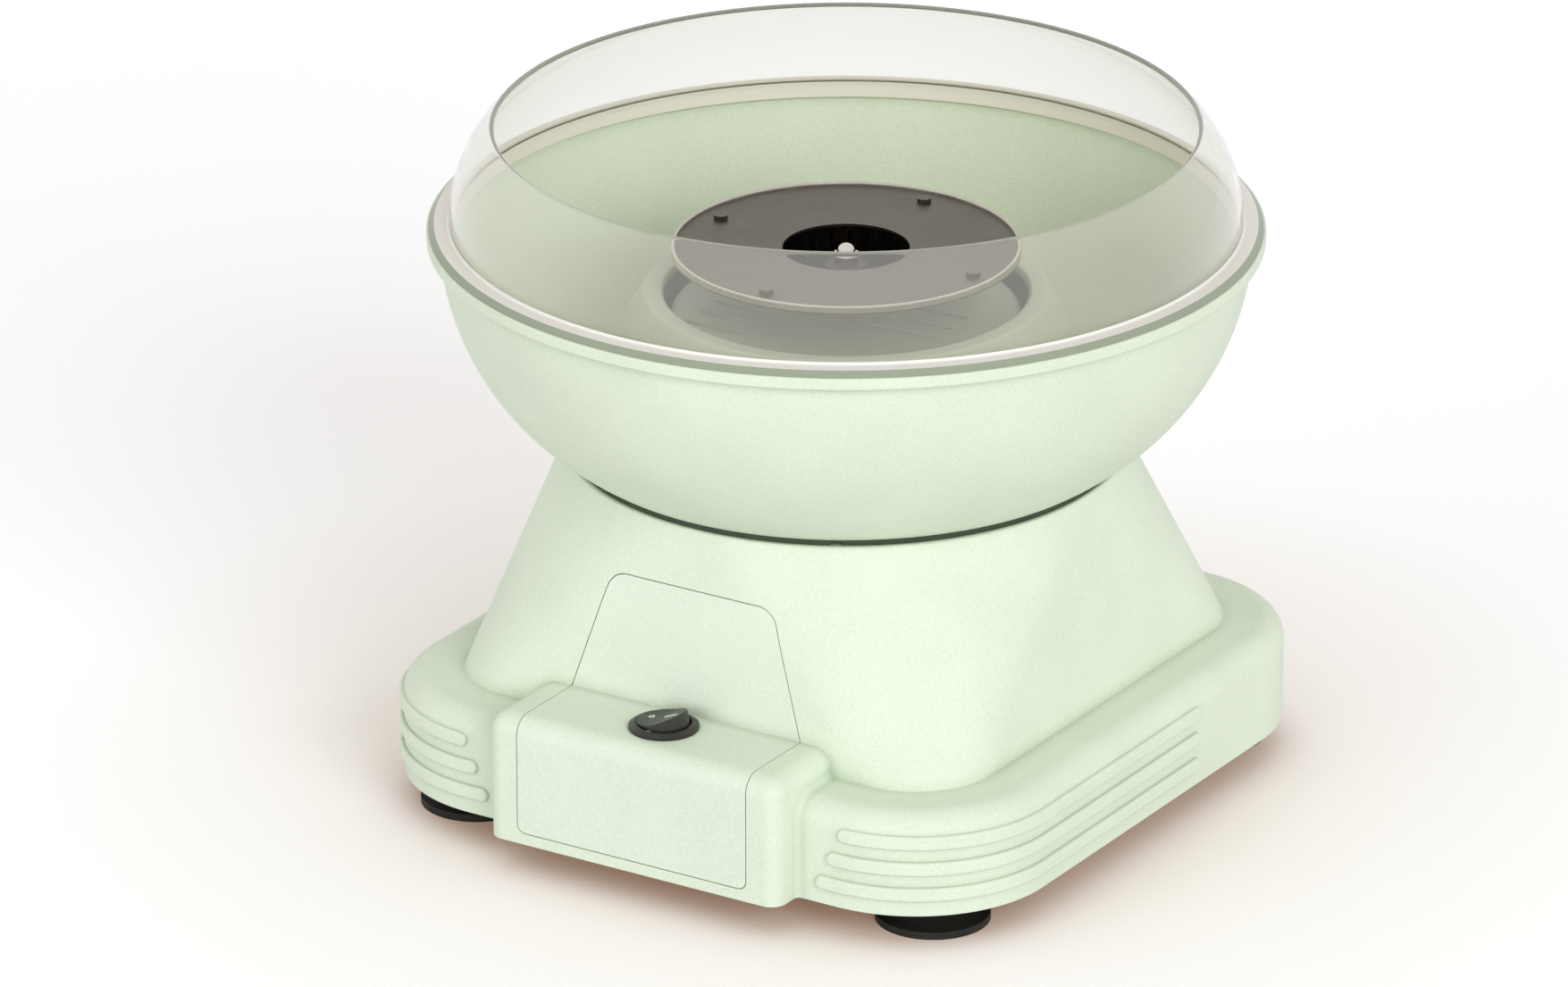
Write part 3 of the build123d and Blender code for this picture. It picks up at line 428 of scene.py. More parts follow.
def clear_polystyrene(name, tint, haze, roughness, shadow):
    """Injection moulded clear polystyrene. Its haze, the share of light it scatters, shows as a
    veil over what is behind it, twice as strong where the wall is seen at a slant, and light on
    its way to the bowl takes on the shadow tint."""
    # Slow waves of the moulded wall, and the index, lower than polystyrene's usual 1.59
    waves_per_metre, wave_height, wave_strength = 30.0, 0.01 * MM, 0.5
    ior = 1.49
    slant_low, slant_high = 0.2, 0.9
    material, tree, output, place = start_material(name)
    waves = add_node(
        tree, "ShaderNodeTexNoise", {"Vector": place, "Scale": waves_per_metre, "Detail": 0.0}
    )
    bump = add_node(
        tree,
        "ShaderNodeBump",
        {"Height": waves.outputs["Fac"], "Distance": wave_height, "Strength": wave_strength},
    )
    slant = add_node(tree, "ShaderNodeLayerWeight", {"Blend": 0.5})
    clearness = add_node(
        tree,
        "ShaderNodeMapRange",
        {
            "Value": slant.outputs["Facing"],
            "From Min": slant_low,
            "From Max": slant_high,
            "To Min": 1 - haze,
            "To Max": max(0.0, 1 - 2 * haze),
        },
    )
    shader = add_node(
        tree,
        "ShaderNodeBsdfPrincipled",
        {
            "Base Color": linear(tint),
            "Roughness": roughness,
            "IOR": ior,
            "Transmission Weight": clearness.outputs["Result"],
            "Normal": bump.outputs["Normal"],
        },
    )
    clear = add_node(tree, "ShaderNodeBsdfTransparent", {"Color": linear(shadow)})
    paths = add_node(tree, "ShaderNodeLightPath")
    lighting = add_node(
        tree,
        "ShaderNodeMath",
        {0: paths.outputs["Is Shadow Ray"], 1: paths.outputs["Is Diffuse Ray"]},
        operation="MAXIMUM",
    )
    mix = add_node(
        tree,
        "ShaderNodeMixShader",
        {0: lighting.outputs["Value"], 1: shader.outputs["BSDF"], 2: clear.outputs["BSDF"]},
    )
    tree.links.new(mix.outputs["Shader"], output.inputs["Surface"])
    return material


def marking_ink():
    """Pad-printed white ink of the switch's marks: flat white with a slightly uneven film."""
    return moulded(
        "printed_white_ink", linear("#FFFFFF"), linear("#F2F3EF"), linear("#FFFFFF"),
        rough=(0.45, 0.6), grain=0.15 * MM, depth=0.004 * MM, patch=1 * MM, edge_r=0.05 * MM,
        ior=1.5,
    )


# ---------------------------------------------------------------- shapes
def grid_piece(name, points, closed_down):
    """A mesh from a grid of points (rows, columns, xyz), closed round its columns and, if asked,
    round its rows too. Rows that shrink to one point are merged into it, and edges past the sharp
    angle stay crisp."""
    rows, columns = points.shape[:2]
    index = np.arange(rows * columns).reshape(rows, columns)
    below = np.roll(index, -1, axis=0)
    if not closed_down:
        index, below = index[:-1], below[:-1]
    corners = [index, below, np.roll(below, -1, axis=1), np.roll(index, -1, axis=1)]
    faces = np.stack(corners, axis=-1).reshape(-1, 4)
    mesh = bpy.data.meshes.new(name)
    mesh.from_pydata(points.reshape(-1, 3).tolist(), [], faces.tolist())
    shape = bmesh.new()
    shape.from_mesh(mesh)
    bmesh.ops.remove_doubles(shape, verts=shape.verts, dist=MERGE_DISTANCE)
    bmesh.ops.recalc_face_normals(shape, faces=shape.faces)
    if shape.calc_volume(signed=True) < 0:
        bmesh.ops.reverse_faces(shape, faces=shape.faces)
    shape.to_mesh(mesh)
    shape.free()
    mesh.polygons.foreach_set("use_smooth", np.ones(len(mesh.polygons), bool))
    mesh.set_sharp_from_angle(angle=SHARP_ANGLE)
    piece = bpy.data.objects.new(name, mesh)
    bpy.context.scene.collection.objects.link(piece)
    return piece


def arc(centre, radius, start, end, count):
    """Points (r, z) on a circle's arc from the start angle to the end angle, in degrees."""
    turn = np.radians(np.linspace(start, end, count))
    return np.stack(
        [centre[0] + radius * np.cos(turn), centre[1] + radius * np.sin(turn)], axis=1
    )


def turned(profile, columns):
    """Each profile point (r, z) carried round the Z axis: x = r cos t, y = r sin t, z = z."""
    turn = np.linspace(0, FULL_TURN, columns, endpoint=False)
    radius = profile[:, :1]
    height = np.broadcast_to(profile[:, 1:], (len(profile), columns))
    return np.stack([radius * np.cos(turn), radius * np.sin(turn), height], axis=-1)


def guard_profile(sizes):
    """The guard's closed outline (r, z) and the finish of each run of it: a clear wall between two
    arcs about one centre with a half round lip, a frosted flange on the bowl's rim, its sloping
    edge, and a skirt inside the rim's mouth."""
    base_z = rim_top_z
    flange_z = base_z + sizes.flange_thickness
    centre = (sizes.guard_foot_r - sizes.guard_arc_r, flange_z)
    lip_r = sizes.guard_wall / 2
    middle_arc_r = sizes.guard_arc_r - lip_r
    lip_angle = math.degrees(math.asin((guard_high.z - flange_z - lip_r) / middle_arc_r))
    lip = (
        centre[0] + middle_arc_r * math.cos(math.radians(lip_angle)),
        centre[1] + middle_arc_r * math.sin(math.radians(lip_angle)),
    )
    flange_r = guard_high.x
    bevel = sizes.flange_bevel
    skirt_r = sizes.guard_skirt_r
    inner_arc_r = sizes.guard_arc_r - sizes.guard_wall
    skirt_inner_r = centre[0] + inner_arc_r - lip_r
    round_r, root_r = 0.4 * MM, 0.8 * MM
    wall_points, lip_points, round_points = 40, 14, 6
    wall_start_angle, root_end_angle = 1.2, 200
    low_z = guard_low.z + round_r
    root = (sizes.guard_foot_r + root_r, flange_z + root_r)
    inner_wall = arc(centre, inner_arc_r, lip_angle, 0, wall_points)
    runs = (
        (CLEAR, arc(centre, sizes.guard_arc_r, wall_start_angle, lip_angle, wall_points)),
        (CLEAR, arc(lip, lip_r, lip_angle, lip_angle + 180, lip_points)[1:-1]),
        (CLEAR, inner_wall[:-1]),
        (SKIRT, inner_wall[-1:]),
        (SKIRT, arc((skirt_inner_r + round_r, low_z), round_r, 180, 270, round_points)),
        (SKIRT, arc((skirt_r - round_r, low_z), round_r, 270, 360, round_points)),
        # The flange's underside and outer edge: opaque, their dark grey-green tint painted shade
        (EDGE_PAINTED_SHADE, np.array([[skirt_r, base_z]])),
        (EDGE_PAINTED_SHADE, np.array([[flange_r, base_z], [flange_r, flange_z - bevel]])),
        (FROSTED, np.array([[flange_r - bevel, flange_z]])),
        (FROSTED, arc(root, root_r, 270, root_end_angle, round_points)),
    )
    finishes = np.concatenate([np.full(len(points), finish) for finish, points in runs])
    return np.concatenate([points for _, points in runs]), finishes


def rolled_edge_profile():
    """The head's rim (r, z): a closed loop round the sheet's upturned edge, with rounded corners.
    It is a superellipse of the fourth power, where the fourth powers of r and z about its middle,
    over its half width and half height, add up to 1, and it lies a thin skin outside the sheet."""
    low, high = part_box("head_disc")
    power, points = 4, 32
    turn = np.linspace(0, FULL_TURN, points, endpoint=False)
    half_width, half_height, skin = 0.62 * MM, (high.z - low.z) / 2, 0.04 * MM
    cosine, sine = np.cos(turn), np.sin(turn)
    reach = (cosine**power + sine**power) ** (-1 / power)
    radius = high.x - half_width + (half_width + skin) * reach * cosine
    height = (low.z + high.z) / 2 + (half_height + skin) * reach * sine
    return np.stack([radius, height], axis=1)


def rocker_height(x, sizes):
    """Height of the button's face over its pivot: a crown with a smooth valley, which rises to
    both sides as a straight slope softened at the middle."""
    soft = sizes.valley_soft
    slope = math.tan(sizes.rocker_dish)
    return sizes.rocker_crown + slope * (np.sqrt(x * x + soft * soft) - soft)


def tip(points, sizes):
    """Turns points given about the pivot by the rest tilt, and moves them to the pivot."""
    cosine, sine = math.cos(sizes.rocker_tilt), math.sin(sizes.rocker_tilt)
    x = points[..., 0] * cosine - points[..., 2] * sine
    z = points[..., 0] * sine + points[..., 2] * cosine
    return np.stack([x, points[..., 1], z], axis=-1) + np.array(rocker_joint["pos_m"])


def rocker_surface(sizes):
    """A round button of rings x = r cos t, y = r sin t: over the dished face out to a rounded edge,
    down the wall, along a ball below the pivot, and back inside as its hollow underside."""
    columns, face_rings, bend_rings, ball_rings = 128, 24, 8, 8
    edge_r, wall = 0.5 * MM, 1.2 * MM
    outer_r = sizes.rocker_r
    turn = np.linspace(0, FULL_TURN, columns, endpoint=False)
    face_r = np.linspace(0, outer_r - edge_r, face_rings)
    bend = np.radians(np.linspace(0, 90, bend_rings))[1:]
    bend_r = outer_r - edge_r + edge_r * np.sin(bend)
    bend_drop = edge_r * (1 - np.cos(bend))
    top_r = np.concatenate([face_r, bend_r])[:, None]
    top_drop = np.concatenate([np.zeros_like(face_r), bend_drop])[:, None]
    top_x = top_r * np.cos(turn)
    top = np.stack([top_x, top_r * np.sin(turn), rocker_height(top_x, sizes) - top_drop], -1)
    ball_z = -np.linspace(0, sizes.rocker_skirt, ball_rings)[:, None]
    ball_r = np.sqrt(outer_r**2 - ball_z**2)
    level = np.ones(columns)
    ball = np.stack([ball_r * np.cos(turn), ball_r * np.sin(turn), ball_z * level], -1)
    inside_r = np.sqrt((outer_r - wall) ** 2 - ball_z[::-1] ** 2)
    inside = np.stack(
        [inside_r * np.cos(turn), inside_r * np.sin(turn), ball_z[::-1] * level], -1
    )
    under_r = (face_r[::-1] * (outer_r - wall) / face_r[-1])[:, None]
    under_x = under_r * np.cos(turn)
    under = np.stack(
        [under_x, under_r * np.sin(turn), rocker_height(under_x, sizes) - wall], -1
    )
    return tip(np.concatenate([top, ball, inside, under]), sizes)


def mark_surface(path, half_width, sizes):
    """A printed mark: a low rounded ridge carried along a path on the button's face, its section
    half a flat ellipse above the face and half below it."""
    section_points = 16
    step = np.roll(path, -1, axis=0) - np.roll(path, 1, axis=0)
    along = step / np.linalg.norm(step, axis=1, keepdims=True)
    side = np.stack([-along[:, 1], along[:, 0]], axis=1)
    section = np.linspace(0, FULL_TURN, section_points, endpoint=False)
    across = half_width * np.cos(section)
    rise = INK_LIFT * np.sin(section)
    x = path[:, None, 0] + side[:, None, 0] * across
    y = path[:, None, 1] + side[:, None, 1] * across
    return tip(np.stack([x, y, rocker_height(x, sizes) + rise], -1), sizes)


def bar_surface(start, end, half_width, sizes):
    """A printed bar: a flat rounded-end strip, the outline of a stadium on rings that shrink to
    its middle line, below the face, up its side and over its top."""
    outline_points = 64
    turn = np.linspace(0, FULL_TURN, outline_points, endpoint=False)
    spread = np.array([0.0, 1.0, 1.0, 0.92, 0.5, 0.0])[:, None]
    height = INK_LIFT * np.array([-1.0, -1.0, 0.6, 1.0, 1.0, 1.0])[:, None]
    centre_x = np.where(np.cos(turn) > 0, end, start)
    x = centre_x + half_width * spread * np.cos(turn)
    y = half_width * spread * np.sin(turn)
    z = rocker_height(x, sizes) + height
    return tip(np.stack([x, y, z], -1), sizes)


# ---------------------------------------------------------------- what a user would change
class CandyMachineSizes(bpy.types.PropertyGroup):
    """Sizes of the pieces that are made here"""

    guard_foot_r: bpy.props.FloatProperty(
        name="Guard foot radius",
        description="Outer radius of the clear wall where it leaves its flange",
        default=132.5 * MM,
        unit="LENGTH",
    )
    guard_arc_r: bpy.props.FloatProperty(
        name="Guard wall arc",
        description="Radius of the curve that the clear wall follows upwards",
        default=46.6 * MM,
        unit="LENGTH",
    )
    guard_wall: bpy.props.FloatProperty(
        name="Guard wall",
        description="Thickness of the clear wall",
        default=1.6 * MM,
        unit="LENGTH",
    )
    flange_thickness: bpy.props.FloatProperty(
        name="Guard flange",
        description="Thickness of the flange that rests on the bowl's rim",
        default=2.0 * MM,
        unit="LENGTH",
    )
    flange_bevel: bpy.props.FloatProperty(
        name="Guard flange bevel",
        description="Slope at the flange's outer edge",
        default=1.6 * MM,
        unit="LENGTH",
    )
    guard_skirt_r: bpy.props.FloatProperty(
        name="Guard skirt radius",
        description="Outer radius of the skirt that drops into the bowl's mouth",
        default=131.6 * MM,
        unit="LENGTH",
    )
    guard_columns: bpy.props.IntProperty(
        name="Guard columns", description="Grid columns round the guard", default=360
    )
    rocker_r: bpy.props.FloatProperty(
        name="Button radius",
        description="Radius of the switch's round button",
        default=8.7 * MM,
        unit="LENGTH",
    )
    rocker_crown: bpy.props.FloatProperty(
        name="Button crown",
        description="Height of the button's middle over its pivot",
        default=2.5 * MM,
        unit="LENGTH",
    )
    rocker_skirt: bpy.props.FloatProperty(
        name="Button skirt",
        description="Depth of the button below its pivot",
        default=2.3 * MM,
        unit="LENGTH",
    )
    rocker_dish: bpy.props.FloatProperty(
        name="Button dish",
        description="Slope of each half of the button's face",
        default=math.radians(9),
        unit="ROTATION",
    )
    rocker_tilt: bpy.props.FloatProperty(
        name="Button tilt",
        description="Tilt of the button when the machine is off",
        default=math.radians(15),
        unit="ROTATION",
    )
    valley_soft: bpy.props.FloatProperty(
        name="Valley softness",
        description="Half width over which the two halves of the face blend",
        default=1.4 * MM,
        unit="LENGTH",
    )
    ring_place: bpy.props.FloatProperty(
        name="Ring mark place",
        description="Distance of the ring mark from the middle of the button",
        default=4.1 * MM,
        unit="LENGTH",
    )
    ring_r: bpy.props.FloatProperty(
        name="Ring mark radius",
        description="Radius of the ring mark's middle line",
        default=0.8 * MM,
        unit="LENGTH",
    )
    bar_start: bpy.props.FloatProperty(
        name="Bar mark start",
        description="Distance of the bar mark's near end from the middle of the button",
        default=1.7 * MM,
        unit="LENGTH",
    )
    bar_end: bpy.props.FloatProperty(
        name="Bar mark end",
        description="Distance of the bar mark's far end from the middle of the button",
        default=5.7 * MM,
        unit="LENGTH",
    )
    ring_width: bpy.props.FloatProperty(
        name="Ring mark line",
        description="Width of the ring mark's line",
        default=0.6 * MM,
        unit="LENGTH",
    )
    bar_width: bpy.props.FloatProperty(
        name="Bar mark line",
        description="Width of the bar mark",
        default=1.5 * MM,
        unit="LENGTH",
    )


class CandyMachineColours(bpy.types.PropertyGroup):
    """Colours of what is seen most, and how clear the guard is"""

    housing: bpy.props.FloatVectorProperty(
        name="Housing",
        description="Colour of the base, bowl and heater cover",
        subtype="COLOR",
        size=4,
        min=0,
        max=1,
        default=linear("#E6F2DE"),
    )
    panel: bpy.props.FloatVectorProperty(
        name="Front panel",
        description="Colour of the panel let into the front",
        subtype="COLOR",
        size=4,
        min=0,
        max=1,
        default=linear("#E7F2E1"),
    )
    switch: bpy.props.FloatVectorProperty(
        name="Switch",
        description="Colour of the switch and the cooling fan",
        subtype="COLOR",
        size=4,
        min=0,
        max=1,
        default=linear("#2B2C27"),
    )
    rubber: bpy.props.FloatVectorProperty(
        name="Rubber",
        description="Colour of the feet and the cord inlet",
        subtype="COLOR",
        size=4,
        min=0,
        max=1,
        default=linear("#22231F"),
    )
    head: bpy.props.FloatVectorProperty(
        name="Head metal",
        description="Colour of the spinning head's sheet metal",
        subtype="COLOR",
        size=4,
        min=0,
        max=1,
        default=linear("#6F6A60"),
    )
    haze: bpy.props.FloatProperty(
        name="Guard haze",
        description="Share of the light that the clear guard scatters",
        default=0.08,
        min=0,
        max=1,
        subtype="FACTOR",
    )


# ---------------------------------------------------------------- pieces
class CANDY_OT_mouldings(bpy.types.Operator):
    """Gives the base, its front panel, the bowl and the heater cover their moulded finish"""

    bl_idname = "candy.mouldings"
    bl_label = "Finish mouldings"

    def execute(self, context):
        colours = context.scene.candy_colours
        housing = mint_abs("moulded_mint_abs", colours.housing, grain_depth=0.03 * MM)
        dress(housing, "base_housing", "bowl", "heater_cover")
        panel = mint_abs("moulded_panel_abs", colours.panel, grain_depth=0.025 * MM)
        dress(panel, "front_panel")
        return {"FINISHED"}


class CANDY_OT_guard(bpy.types.Operator):
    """Turns the clear guard with its rounded lips, in place of the plain one"""

    bl_idname = "candy.guard"
    bl_label = "Make guard"

    def execute(self, context):
        sizes = context.scene.candy_sizes
        colours = context.scene.candy_colours
        profile, finishes = guard_profile(sizes)
        piece = grid_piece("guard_shell", turned(profile, sizes.guard_columns), closed_down=True)
        # CLEAR, SKIRT, EDGE_PAINTED_SHADE and FROSTED: tint, haze, roughness and the tint of light through it
        for material in (
            clear_polystyrene("clear_polystyrene", "#FDFDFA", colours.haze, 0.02, "#E3DDD2"),
            clear_polystyrene("frosted_polystyrene_skirt", "#F4F2E8", 0.8, 0.35, "#DAD9D2"),
            # The edge is opaque, and its dark grey-green tint is painted shade between the flange
            # and the rim
            clear_polystyrene("polystyrene_edge_painted_shade", "#98A38F", 1.0, 0.35, "#DAD9D2"),
            clear_polystyrene("frosted_polystyrene", "#FFFFFA", 1.0, 0.45, "#DEDDD8"),
        ):
            piece.data.materials.append(material)
        rows = np.repeat(finishes, sizes.guard_columns)
        piece.data.polygons.foreach_set("material_index", rows)
        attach(piece, "guard_body")
        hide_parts("guard")
        return {"FINISHED"}


class CANDY_OT_switch(bpy.types.Operator):
    """Makes the dished rocker button and its marks, and finishes the switch's body and blades"""

    bl_idname = "candy.switch"
    bl_label = "Make switch"

    def execute(self, context):
        sizes = context.scene.candy_sizes
        nylon = black_nylon(context.scene.candy_colours.switch)
        button = grid_piece("rocker_button", rocker_surface(sizes), closed_down=False)
        button.data.materials.append(nylon)
        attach(button, "rocker")
        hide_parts("switch_rocker")

        ring_points = 48
        turn = np.linspace(0, FULL_TURN, ring_points, endpoint=False)
        path = sizes.ring_r * np.stack([np.cos(turn), np.sin(turn)], axis=1)
        path = path - np.array([sizes.ring_place, 0])
        ring_grid = mark_surface(path, sizes.ring_width / 2, sizes)
        ring = grid_piece("rocker_off_mark", ring_grid, closed_down=True)
        bar_grid = bar_surface(sizes.bar_start, sizes.bar_end, sizes.bar_width / 2, sizes)
        bar = grid_piece("rocker_on_mark", bar_grid, closed_down=False)
        ink = marking_ink()
        for mark in (ring, bar):
            mark.data.materials.append(ink)
            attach(mark, "rocker")
        dress(nylon, "switch_body", "cooling_fan")
        dress(contact_brass(), "switch_blades")
        return {"FINISHED"}


class CANDY_OT_head(bpy.types.Operator):
    """Finishes the spinning head and the nut on its middle, and makes the head's edge, pale as a
    painted highlight
    """

    bl_idname = "candy.head"
    bl_label = "Finish head"

    def execute(self, context):
        metal = heated_aluminium(context.scene.candy_colours.head)
        dress(metal, "head_disc", "head_rivets")
        dress(burnt_aluminium(), "head_pan", "head_band")
        edge_columns = 256
        edge_grid = turned(rolled_edge_profile(), edge_columns)
        edge = grid_piece("head_edge_painted_highlight", edge_grid, closed_down=True)
        # A thin shell over the rim, much paler than the sheet: a painted highlight
        edge.data.materials.append(rolled_edge_painted_highlight())
        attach(edge, "spinner")
        dress(nickel_plate(), "cap_nut")
        return {"FINISHED"}


class CANDY_OT_drive(bpy.types.Operator):
    """Finishes the motor, its bearings, the bracket, the shaft and the plated fasteners"""

    bl_idname = "candy.drive"
    bl_label = "Finish drive"

    def execute(self, context):
        plated = (
            "switch_pivot_pin", "drive_pin", "motor_shaft", "motor_bracket", "bracket_screws",
            "motor_screws", "heat_shield", "plate_screws", "cover_screws",
        )
        dress(zinc_plate(), *plated)
        dress(motor_enamel(), "motor_can", "motor_end_cap")
        dress(core_laminations(), "motor_stator", "motor_rotor")
        dress(sintered_bronze(), "upper_bearing", "lower_bearing")
        return {"FINISHED"}


class CANDY_OT_heater(bpy.types.Operator):
    """Finishes the heating element and the ceramic posts, cutout and terminal block"""

    bl_idname = "candy.heater"
    bl_label = "Finish heater"

    def execute(self, context):
        dress(tinted_sheath(), "heating_element")
        dress(steatite(), "heater_posts", "thermal_cutout", "terminal_block")
        return {"FINISHED"}


class CANDY_OT_underside(bpy.types.Operator):
    """Finishes the bottom plate, the feet, the cord inlet and the seal ring"""

    bl_idname = "candy.underside"
    bl_label = "Finish underside"

    def execute(self, context):
        rubber = black_rubber(context.scene.candy_colours.rubber)
        feet = [name for name in frame["nodes"] if name.startswith("foot_")]
        dress(rubber, "cord_gland", *feet)
        # The seal ring's dark grey-green is painted shade in the gap under the bowl
        dress(seal_painted_gap_shade(), "seal_ring")
        dress(black_polypropylene(), "bottom_plate")
        return {"FINISHED"}


# ---------------------------------------------------------------- stage
def seen_white(tree):
    """1 where a surface is seen by the camera, in a reflection or through the guard, and 0 for the
    light that bounces off the object's own matte surfaces."""
    half_a_bounce = 0.5
    paths = add_node(tree, "ShaderNodeLightPath")
    seen = paths.outputs["Is Camera Ray"]
    for ray in ("Is Glossy Ray", "Is Transmission Ray"):
        more = add_node(
            tree, "ShaderNodeMath", {0: seen, 1: paths.outputs[ray]}, operation="MAXIMUM"
        )
        seen = more.outputs["Value"]
    first = add_node(
        tree,
        "ShaderNodeMath",
        {0: paths.outputs["Diffuse Depth"], 1: half_a_bounce},
        operation="LESS_THAN",
    )
    both = add_node(
        tree, "ShaderNodeMath", {0: seen, 1: first.outputs["Value"]}, operation="MULTIPLY"
    )
    return both.outputs["Value"]


def white_floor():
    """A matte white studio sweep. What the camera sees is lifted to white where light reaches it,
    and keeps the object's soft shadow. Close to the object a warm brown painted shadow, by an
    ambient occlusion share, darkens it further. A colour of the seen sheet may pass 1, because
    the light that bounces onto the object comes from the plain floor."""
    plain_white, shadow_reach = (0.78, 0.78, 0.78, 1.0), 0.22
    # The close colours paint a warm brown shadow near the object; the far ones are the open floor
    sheet_painted_shadow, sheet_far = (0.66, 0.56, 0.46, 1.0), (0.98, 1.10, 1.20, 1.0)
    lift_painted_shadow, lift_far = (0.17, 0.09, 0.05, 1.0), (0.25, 0.17, 0.12, 1.0)
    material, tree, output, _ = start_material("stage_floor")
    plain = add_node(tree, "ShaderNodeBsdfDiffuse", {"Color": plain_white})
    painted_shade_opening = add_node(
        tree, "ShaderNodeAmbientOcclusion", {"Distance": shadow_reach}, samples=8
    )
    painted_shadow_tones = [
        add_node(
            tree,
            "ShaderNodeMix",
            {MIX_FACTOR: painted_shade_opening.outputs["AO"], MIX_A: close, MIX_B: far},
            data_type="RGBA",
        ).outputs[MIX_RESULT]
        for close, far in ((sheet_painted_shadow, sheet_far), (lift_painted_shadow, lift_far))
    ]
    sheet = add_node(tree, "ShaderNodeBsdfDiffuse", {"Color": painted_shadow_tones[0]})
    lift = add_node(tree, "ShaderNodeEmission", {"Color": painted_shadow_tones[1]})
    lifted = add_node(
        tree, "ShaderNodeAddShader", {0: sheet.outputs["BSDF"], 1: lift.outputs["Emission"]}
    )
    mix = add_node(
        tree,
        "ShaderNodeMixShader",
        {0: seen_white(tree), 1: plain.outputs["BSDF"], 2: lifted.outputs["Shader"]},
    )
    tree.links.new(mix.outputs["Shader"], output.inputs["Surface"])
    return material


def studio_world(horizon, zenith):
    """White wherever the camera, a reflection or a view through the guard meets it, and for
    everything else a soft light that turns from the horizon's colour to the zenith's."""
    world = bpy.data.worlds.new("studio_world")
    world.use_nodes = True
    tree = world.node_tree
    tree.nodes.clear()
    direction = add_node(tree, "ShaderNodeTexCoord").outputs["Generated"]
    height = add_node(tree, "ShaderNodeSeparateXYZ", {"Vector": direction}).outputs["Z"]
    sky = add_node(
        tree,
        "ShaderNodeMix",
        {MIX_FACTOR: height, MIX_A: horizon, MIX_B: zenith},
        data_type="RGBA",
    )
    soft = add_node(tree, "ShaderNodeBackground", {"Color": sky.outputs[MIX_RESULT]})
    white = add_node(tree, "ShaderNodeBackground", {"Strength": 1.0, "Color": WHITE})
    mix = add_node(
        tree,
        "ShaderNodeMixShader",
        {0: seen_white(tree), 1: soft.outputs["Background"], 2: white.outputs["Background"]},
    )
    output = add_node(tree, "ShaderNodeOutputWorld")
    tree.links.new(mix.outputs["Shader"], output.inputs["Surface"])
    return world


def soft_lamp(name, *, azimuth, elevation, spread, level):
    """An even white light from one side, as from a wide soft box far off: it comes from within the
    spread round a direction, azimuth 0 in front of the machine and 90 on its right, and gives a
    white surface that faces it the level. Angles are in degrees."""
    holder_distance = 2.0
    turn, lift = math.radians(azimuth), math.radians(elevation)
    away = np.array(
        [math.sin(turn) * math.cos(lift), -math.cos(turn) * math.cos(lift), math.sin(lift)]
    )
    lamp = bpy.data.lights.new(name, "SUN")
    lamp.angle = math.radians(spread)
    lamp.energy = math.pi * level
    side = np.cross([0.0, 0.0, 1.0], away)
    side = side / np.linalg.norm(side)
    place = np.eye(4)
    place[:3, :3] = np.stack([side, np.cross(away, side), away], axis=1)
    place[:3, 3] = holder_distance * away
    holder = bpy.data.objects.new(name, lamp)
    holder.matrix_world = Matrix(place.tolist())
    holder.visible_glossy = False
    holder.visible_transmission = False
    bpy.context.scene.collection.objects.link(holder)


def photo_camera():
    """The photograph's view: azimuth, pitch, yaw and roll found from its ellipses, with a long
    lens from almost four metres."""
    azimuth, pitch = math.radians(32.0), math.radians(22.31)
    yaw, roll = math.radians(-0.32), math.radians(-0.10)
    distance, height = 3.736, 1.6328
    image_width, focal_pixels, sensor_width, far_clip = 1755, 13436.17, 36.0, 50.0

    forward = np.array(
        [math.sin(yaw) * math.cos(pitch), math.cos(yaw) * math.cos(pitch), -math.sin(pitch)]
    )
    right = np.array([math.cos(yaw), -math.sin(yaw), 0.0])
    up = np.cross(right, forward)
    right, up = (
        math.cos(roll) * right + math.sin(roll) * up,
        math.cos(roll) * up - math.sin(roll) * right,
    )
    to_object = np.array(
        [
            [math.cos(azimuth), -math.sin(azimuth), 0],
            [math.sin(azimuth), math.cos(azimuth), 0],
            [0, 0, 1],
        ]
    )
    place = np.eye(4)
    place[:3, :3] = to_object @ np.stack([right, up, -forward], axis=1)
    place[:3, 3] = [distance * math.sin(azimuth), -distance * math.cos(azimuth), height]
    lens = bpy.data.cameras.new("photo_camera")
    lens.sensor_width = sensor_width
    lens.sensor_fit = "HORIZONTAL"
    lens.lens = focal_pixels * sensor_width / image_width
    lens.clip_end = far_clip
    camera = bpy.data.objects.new("photo_camera", lens)
    camera.matrix_world = Matrix(place.tolist())
    bpy.context.scene.collection.objects.link(camera)
    bpy.context.scene.camera = camera


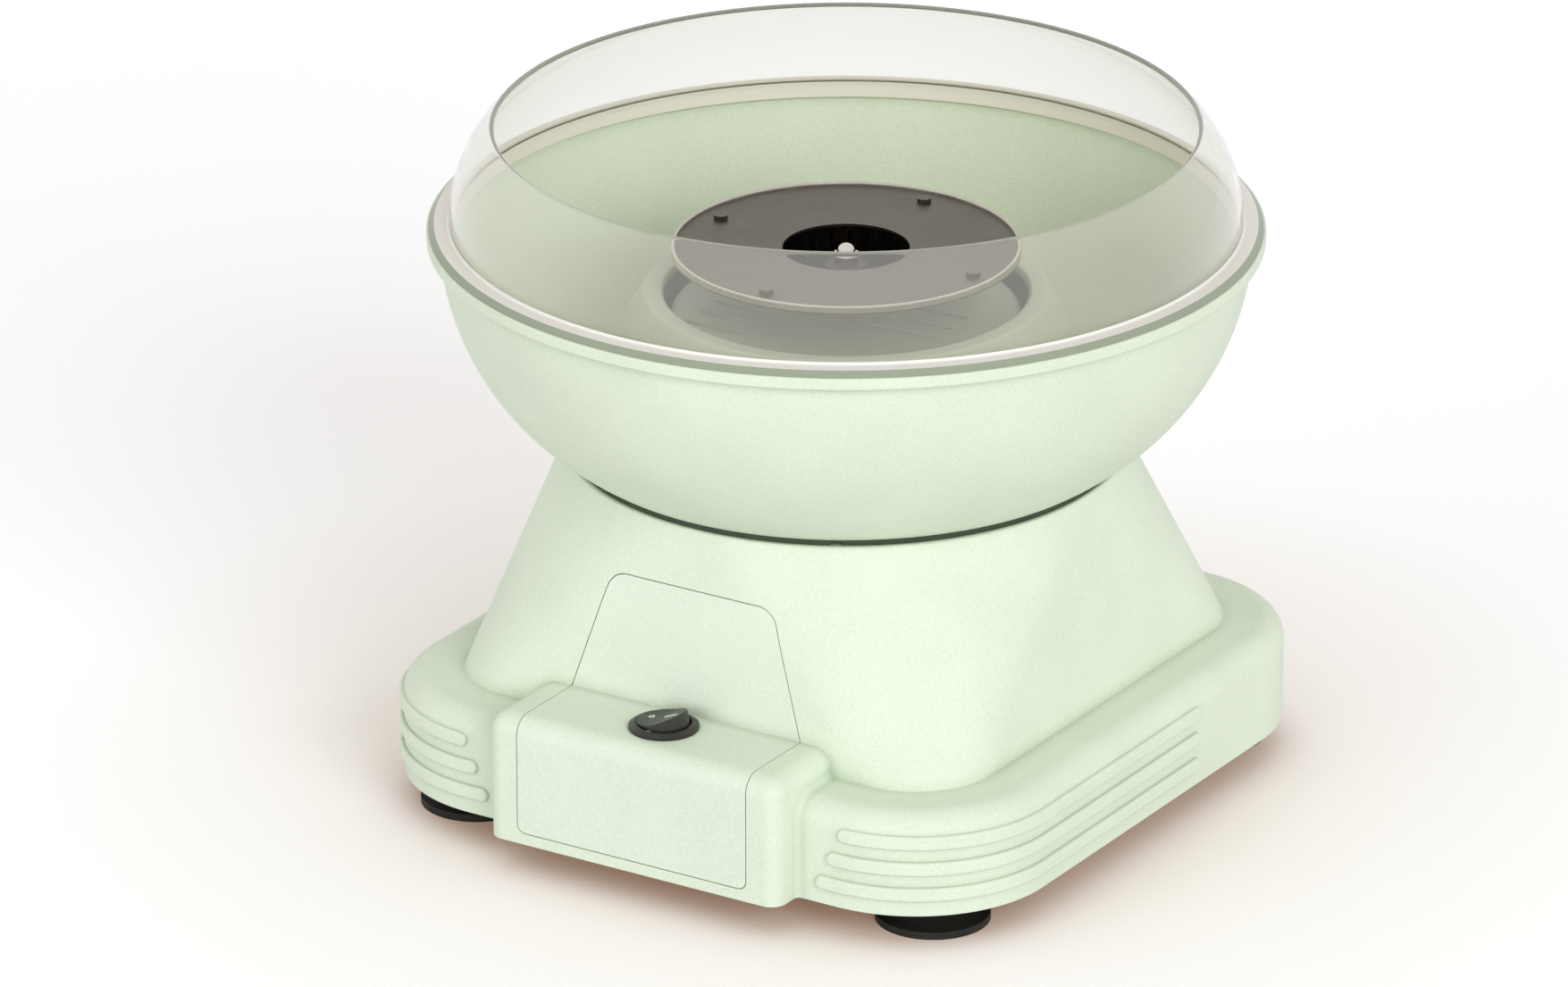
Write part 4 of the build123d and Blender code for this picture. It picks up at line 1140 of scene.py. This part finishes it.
class CANDY_OT_stage(bpy.types.Operator):
    """Sets out the white floor, the soft lamps, the world light and the camera"""

    bl_idname = "candy.stage"
    bl_label = "Set stage"

    def execute(self, context):
        half_width, lines = 6.0, 9
        steps = np.linspace(-half_width, half_width, lines)
        x, y = np.meshgrid(steps, steps, indexing="ij")
        points = np.stack([x, y, np.zeros_like(x)], axis=-1).reshape(-1, 3)
        index = np.arange(lines * lines).reshape(lines, lines)
        corners = [index[:-1, :-1], index[1:, :-1], index[1:, 1:], index[:-1, 1:]]
        mesh = bpy.data.meshes.new("stage_floor")
        faces = np.stack(corners, axis=-1).reshape(-1, 4)
        mesh.from_pydata(points.tolist(), [], faces.tolist())
        mesh.materials.append(white_floor())
        floor = bpy.data.objects.new("stage_floor", mesh)
        context.scene.collection.objects.link(floor)

        soft_lamp("key_lamp", azimuth=58, elevation=21, spread=36, level=0.46)
        soft_lamp("fill_lamp", azimuth=-20, elevation=4, spread=50, level=0.32)
        horizon, zenith = (0.72, 0.72, 0.72, 1.0), (0.52, 0.495, 0.47, 1.0)
        context.scene.world = studio_world(horizon, zenith)
        context.scene.view_settings.view_transform = "Standard"
        photo_camera()
        return {"FINISHED"}


class CANDY_PT_machine(bpy.types.Panel):
    """Lists the machine's sizes, colours and pieces"""

    bl_idname = "CANDY_PT_machine"
    bl_label = "Cotton candy machine"
    bl_space_type = "VIEW_3D"
    bl_region_type = "UI"
    bl_category = "Cotton Candy"

    def draw(self, context):
        for group in (context.scene.candy_sizes, context.scene.candy_colours):
            for name in group.__annotations__:
                self.layout.prop(group, name)
        for operator in OPERATORS:
            self.layout.operator(operator.bl_idname)


OPERATORS = (
    CANDY_OT_mouldings,
    CANDY_OT_guard,
    CANDY_OT_switch,
    CANDY_OT_head,
    CANDY_OT_drive,
    CANDY_OT_heater,
    CANDY_OT_underside,
    CANDY_OT_stage,
)
CLASSES = (CandyMachineSizes, CandyMachineColours, *OPERATORS, CANDY_PT_machine)


def register():
    for kind in CLASSES:
        bpy.utils.register_class(kind)
    bpy.types.Scene.candy_sizes = bpy.props.PointerProperty(type=CandyMachineSizes)
    bpy.types.Scene.candy_colours = bpy.props.PointerProperty(type=CandyMachineColours)


def unregister():
    del bpy.types.Scene.candy_colours
    del bpy.types.Scene.candy_sizes
    for kind in reversed(CLASSES):
        bpy.utils.unregister_class(kind)


def main():
    register()
    bpy.ops.candy.mouldings()
    bpy.ops.candy.guard()
    bpy.ops.candy.switch()
    bpy.ops.candy.head()
    bpy.ops.candy.drive()
    bpy.ops.candy.heater()
    bpy.ops.candy.underside()
    bpy.ops.candy.stage()


if __name__ == "__main__":
    main()
